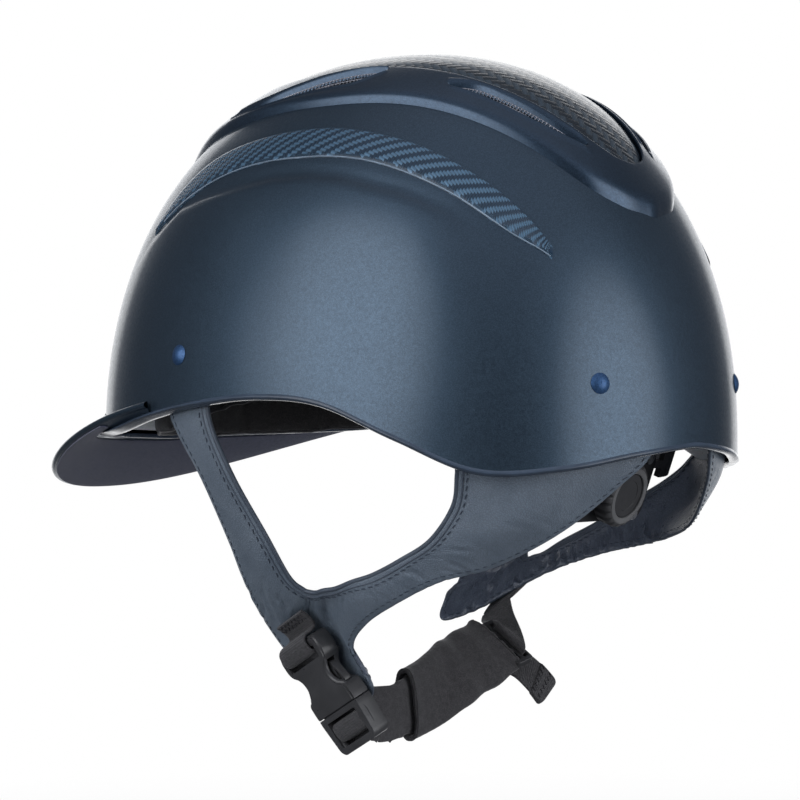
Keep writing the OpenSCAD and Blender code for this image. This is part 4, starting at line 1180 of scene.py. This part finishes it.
def rounded(points, radius, steps=6):
    """Outline with its corners rounded."""
    p = np.asarray(points, float)
    out = []
    for corner, a, b in zip(p, np.roll(p, 1, 0) - p, np.roll(p, -1, 0) - p):
        la, lb = np.linalg.norm(a), np.linalg.norm(b)
        r = min(radius, 0.48 * la, 0.48 * lb)
        k = np.linspace(0, 1, steps)[:, None]
        start, stop = corner + a / la * r, corner + b / lb * r
        out.append((1 - k) ** 2 * start + 2 * k * (1 - k) * corner + k * k * stop)
    return np.concatenate(out)


def block(x0, x1, y0, y1, radius=0.6):
    return rounded([(x0, y0), (x1, y0), (x1, y1), (x0, y1)], radius)


def both_halves(side):
    return np.array(list(side) + [(-x, y) for x, y in reversed(side)], float)


def moulding(name, body, nodes, place, parts, holes, bevel, rails=()):
    """Plastic piece: prisms joined, holes taken away, its edges rounded, and rounded rails laid on it."""
    piece = Shape().add(*prism(*parts[0], place)).make(name, body, "buckle_black", [BUCKLE], nodes)
    for part in parts[1:]:
        combine(piece, *prism(*part, place), "UNION")
    for hole in holes:
        combine(piece, *prism(*hole, place), "DIFFERENCE")
    edges = piece.modifiers.new("edges", "BEVEL")
    edges.width, edges.segments, edges.limit_method = bevel * MM, 3, "ANGLE"
    edges.angle_limit = math.radians(38)
    apply_modifiers(piece)
    piece.data.shade_smooth()
    piece.data.set_sharp_from_angle(angle=math.radians(32))
    if rails:
        shape = Shape()
        for line, radius in rails:
            tube(shape, place(smooth(line, 12 * (len(line) - 1))), radius, 14)
        shape.make(name + "_rails", body, "buckle_black", [BUCKLE], sharp=80)
    return piece


SOCKET_SIDE = [(HALF_W - 0.3, -MOUTH), (HALF_W - 0.1, -MOUTH + 0.2), (HALF_W, -5), (HALF_W - 0.2, 0),
               (HALF_W - 4, 1.5), (HALF_W - 6, 5), (HALF_W - 6, 8), (HALF_W - 4.5, 11), (HALF_W - 1, 13.5),
               (HALF_W, 16), (HALF_W, 21), (HALF_W - 1.5, 23.3)]
CAVITY_SIDE = [(HALF_W - 1.4, -MOUTH - 1), (HALF_W - 1.4, 2), (HALF_W - 3.6, 12.4), (0, 12.4)]
PLUG_SIDE = [(HALF_W - 0.3, -7.3), (HALF_W - 0.1, -7.5), (HALF_W, -9.4), (HALF_W - 1, -22), (HALF_W - 3, -24)]
PRONG_SIDE = [(6.4, -7), (9.6, -7), (9.4, -1), (12.2, 0.5), (12.3, 3), (11.4, 7), (9.6, 10.5), (7.6, 11),
              (7.4, 8), (8.6, 4), (7, 0)]
PRONG_EYE = [(9.7, 1.6), (11.0, 2.2), (10.7, 5.4), (9.9, 7.4), (9.5, 5)]
SOCKET_RAIL = [(11.6, 22.4, 2.6), (12.7, 19.5, 3.3), (12.6, 16, 3.4), (10.4, 12.8, 3.4), (8.3, 9.4, 3.4),
               (7.9, 5.6, 3.4), (9.6, 2.2, 3.3), (12.0, 0.2, 2.6), (12.4, -3, 2.2), (12.1, -6.6, 2.2)]
PLUG_RAIL = [(12.1, -8.2, 1.6), (12.2, -12, 1.9), (11.7, -18, 1.9), (10.9, -22.2, 1.4)]


def make_buckle():
    outline = rounded(both_halves(SOCKET_SIDE), 1.6)
    moulding("socket", "helmet", ["buckle_socket"], in_buckle,
             [(outline, -HALF_T + 0.8, HALF_T - 0.6), (outline * [0.94, 0.96], -HALF_T, HALF_T + 0.2)],
             [(both_halves(CAVITY_SIDE), -1.8, 3.2), (block(-10.8, 10.8, 14.4, 19.4), -10, 10),
              (block(-HALF_W - 1, HALF_W + 1, 14, 26), -10, -3.2)], 0.55,
             [([(side * x, y, z) for x, y, z in SOCKET_RAIL], 1.25) for side in (-1, 1)])
    moulding("plug", "chin_strap", ["buckle_plug"], in_buckle,
             [(rounded(both_halves(PLUG_SIDE), 1.7), -HALF_T + 0.6, HALF_T - 0.4),
              (block(-2.4, 2.4, -8, 9), -1.5, 1.5), (block(-11.8, 11.8, -8.6, -5.8), -1.7, 3.0)],
             [(block(-10.4, 10.4, -13, -9.6), -2.4, 10), (block(-10.4, 10.4, -21, -17), -2.4, 10),
              (block(-10.4, 10.4, -17.5, -12.5), 1.6, 10)], 0.9,
             [([(side * x, y, z) for x, y, z in PLUG_RAIL], 1.7) for side in (-1, 1)])
    for side, name in ((-1, "front"), (1, "rear")):
        piece = moulding(f"squeeze_arm_{name}", f"{name}_prong", [f"prong_{name}"], in_buckle,
                         [(rounded(PRONG_SIDE, 1.4) * [side, 1], -1.5, 1.5)],
                         [(rounded(PRONG_EYE, 0.6) * [side, 1], -3, 3)], 0.6)
        piece.data.set_sharp_from_angle(angle=math.radians(50))


def make_slider():
    moulding("slider", "chin_strap", ["strap_slider"], in_slider,
             [(block(-4.5, 4.5, -13, 13, 1.6), -1.5, 1.5)],
             [(block(x - 1.1, x + 1.1, -10.7, 10.7, 0.5), -5, 5) for x in (-2, 2)], 0.6)


def lathe(shape, profile, paints, steps, dent=None):
    """Solid of revolution about the dial's axis; dent takes depth away by angle where the row allows it."""
    a = np.linspace(0, 2 * math.pi, steps, endpoint=False)
    for low, high, paint in zip(profile, profile[1:], paints):
        rings = []
        for r, z, share in (low, high):
            size = r - (dent(a) * share if dent else 0)
            rings.append(in_dial(np.stack([size * np.cos(a), size * np.sin(a), z + 0 * a], -1)))
        shape.grid(np.stack(rings), paint, wrap_cols=True)
    return shape


def make_dial():
    profile = [(0.01, -8.6, 0), (1.95, -8.6, 0), (1.95, -7, 0), (2.8, -7, 0), (2.8, 0.9, 0), (12.4, 0.9, 0.3),
               (13.2, 1.2, 0.9), (DIAL_R, 1.8, 1), (DIAL_R, 6.6, 1), (13.2, 7.5, 1), (12.5, 8.2, 0.6),
               (11.7, 8.6, 0.1), (11.5, 8.6, 0), (11.3, 8.9, 0), (9.7, 8.95, 0), (9.3, 8.8, 0), (9.1, 8.4, 0),
               (9.1, 7.2, 0)]
    paints = [1 if 12 <= i <= 15 else 0 for i in range(len(profile) - 1)]

    def dent(a):
        return 1.0 * np.clip(np.cos(GRIPS * a), 0, 1) ** 1.2

    shape = lathe(Shape(), profile, paints, GRIPS * 12, dent)
    shape.make("dial_knob", "fit_dial", "dial_rubber", [DIAL_RUBBER, DIAL_RING], ["fit_dial"], sharp=40)
    cap = [(9.0, 7.2, 0), (9.0, 7.9, 0), (8.7, 8.2, 0), (6.2, 8.15, 0), (6.0, 7.95, 0), (0.01, 7.9, 0)]
    shape = lathe(Shape(), cap, [0] * (len(cap) - 1), 96)
    shape.make("dial_disc", "fit_dial", "dial_face", [DIAL_FACE], ["dial_cap"], sharp=40)


# ---------------------------------------------------------------- build

make_shell()
make_frame()
make_top_inlay()
for side, hand in ((1, "left"), (-1, "right")):
    make_side_inlay(side, f"crescent_{hand}", f"side_inlay_{hand}")
for vent, place in ((FRONT_VENT, "front"), (REAR_VENT, "rear")):
    for side, hand in ((1, "left"), (-1, "right")):
        make_vent_mesh(vent, side, f"{place}_grille_{hand}", f"vent_mesh_{place}_{hand}")
make_rim()
make_peak()
make_foam()
make_harness(LEFT_ROWS, 1, "ear_harness_left", "left_harness", 342)
make_harness(RIGHT_ROWS, -1, "ear_harness_right", "right_harness", 324)

make_headband()
make_crown_pad()
make_nape_pad()
make_chin_pad()
make_sleeve()
make_webbing()
make_buckle()
make_slider()
make_dial()

# Nodes of the design that stay, each with its material.
for material, names in ((RIVET_BLUE, ["harness_rivets"]), (STEEL, ["rivet_washers", "housing_screws"]),
                        (BLACK_PLASTIC, ["nape_cradle", "cradle_straps", "dial_housing", "housing_cover"]),
                        (NYLON, ["dial_pinion"]), (BAND_GREY, ["left_rack_band", "right_rack_band"])):
    for name in names:
        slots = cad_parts[name].data.materials
        slots.clear()
        slots.append(material)

# ---------------------------------------------------------------- floor, lights and camera

AZIMUTH, ELEVATION, DISTANCE = 126, 1, 1.3
SENSOR, LENS, SHIFT = 36, 143.9, (-0.0325, 0.05)
scene = bpy.context.scene


def direction(azimuth, elevation):
    a, e = math.radians(azimuth), math.radians(elevation)
    return Vector((math.sin(a) * math.cos(e), -math.cos(a) * math.cos(e), math.sin(e)))


def softbox(name, azimuth, elevation, distance, size, power, aim=(0, 0, 0.03)):
    data = bpy.data.lights.new(name, "AREA")
    data.shape = "ELLIPSE"
    data.size, data.size_y = size
    data.energy = power
    light = add_object(name, data)
    light.location = Vector(aim) + distance * direction(azimuth, elevation)
    light.rotation_euler = direction(azimuth, elevation).to_track_quat("Z", "Y").to_euler()
    light.visible_glossy = False


def make_floor(radius=1.1, z=-0.215, sides=64):
    """A pale disc that fades out before its rim, so it shows no horizon."""
    me = bpy.data.meshes.new("floor")
    turns = [k / sides * 2 * math.pi for k in range(sides)]
    me.from_pydata([(radius * math.sin(a), radius * math.cos(a), z) for a in turns], [], [list(range(sides))])
    floor = add_object("floor", me)
    p = Paint("floor_pale", Roughness=0.85, Specular_IOR_Level=0.1)
    p.set("Base Color", p.blend(p.noise(400, 2), (0.88, 0.88, 0.88), (0.92, 0.92, 0.92)))
    away = p.node("VectorMath", {0: p.place()}, operation="LENGTH").outputs["Value"]
    p.set("Alpha", p.spread(away, 0.20, 0.70, 0.22, 0.0))
    me.materials.append(p.material)


def make_world():
    """White beyond the object, and for its reflections a dim room with a few soft-edged panels of light."""
    world = bpy.data.worlds.new("studio")
    world.use_nodes = True
    scene.world = world
    tree = world.node_tree
    sky, node = tree.nodes["Background"], Tree(tree).node
    ray = node("TexCoord", {}).outputs["Generated"]
    total = None
    for azimuth, elevation, low, high, light in ROOM:
        aim = tuple(direction(AZIMUTH + azimuth, elevation))
        near = node("VectorMath", {0: ray, 1: aim}, operation="DOT_PRODUCT").outputs["Value"]
        share = node("MapRange", {"Value": near, "From Min": low, "From Max": high},
                     interpolation_type="SMOOTHERSTEP").outputs["Result"]
        glow = node("VectorMath", {0: light, "Scale": share}, operation="SCALE").outputs["Vector"]
        total = node("VectorMath", {0: total, 1: glow}, operation="ADD").outputs["Vector"] if total else glow
    tree.links.new(total, sky.inputs["Color"])
    white = node("Background", {"Color": (1, 1, 1, 1), "Strength": 1.0})
    seen = node("LightPath", {}).outputs["Is Camera Ray"]
    blend = node("MixShader", {0: seen, 1: sky.outputs[0], 2: white.outputs[0]})
    tree.links.new(blend.outputs[0], tree.nodes["World Output"].inputs["Surface"])


# Each panel: its bearing from the camera's, its height, the cosines where it starts and is full, its light.
ROOM = [(0, 90, -2.0, 1.0, (0.12, 0.13, 0.15)),
        (180, 4, 0.80, 0.92, (1.7, 1.7, 1.7)),
        (-47, 15, 0.78, 0.995, (2.9, 2.95, 3.05)),
        (65.5, 4, 0.81, 0.995, (2.5, 2.55, 2.65)),
        (20, 72, 0.50, 1.0, (0.35, 0.37, 0.42))]

make_floor()
make_world()
softbox("key", AZIMUTH + 35, elevation=50, distance=1.8, size=(1.4, 1.4), power=7)

camera = scene.camera = add_object("camera", bpy.data.cameras.new("camera"))
camera.location = DISTANCE * direction(AZIMUTH, ELEVATION)
camera.rotation_euler = direction(AZIMUTH, ELEVATION).to_track_quat("Z", "Y").to_euler()
camera.data.sensor_width, camera.data.lens = SENSOR, LENS
camera.data.shift_x, camera.data.shift_y = SHIFT
scene.view_settings.view_transform = "Standard"
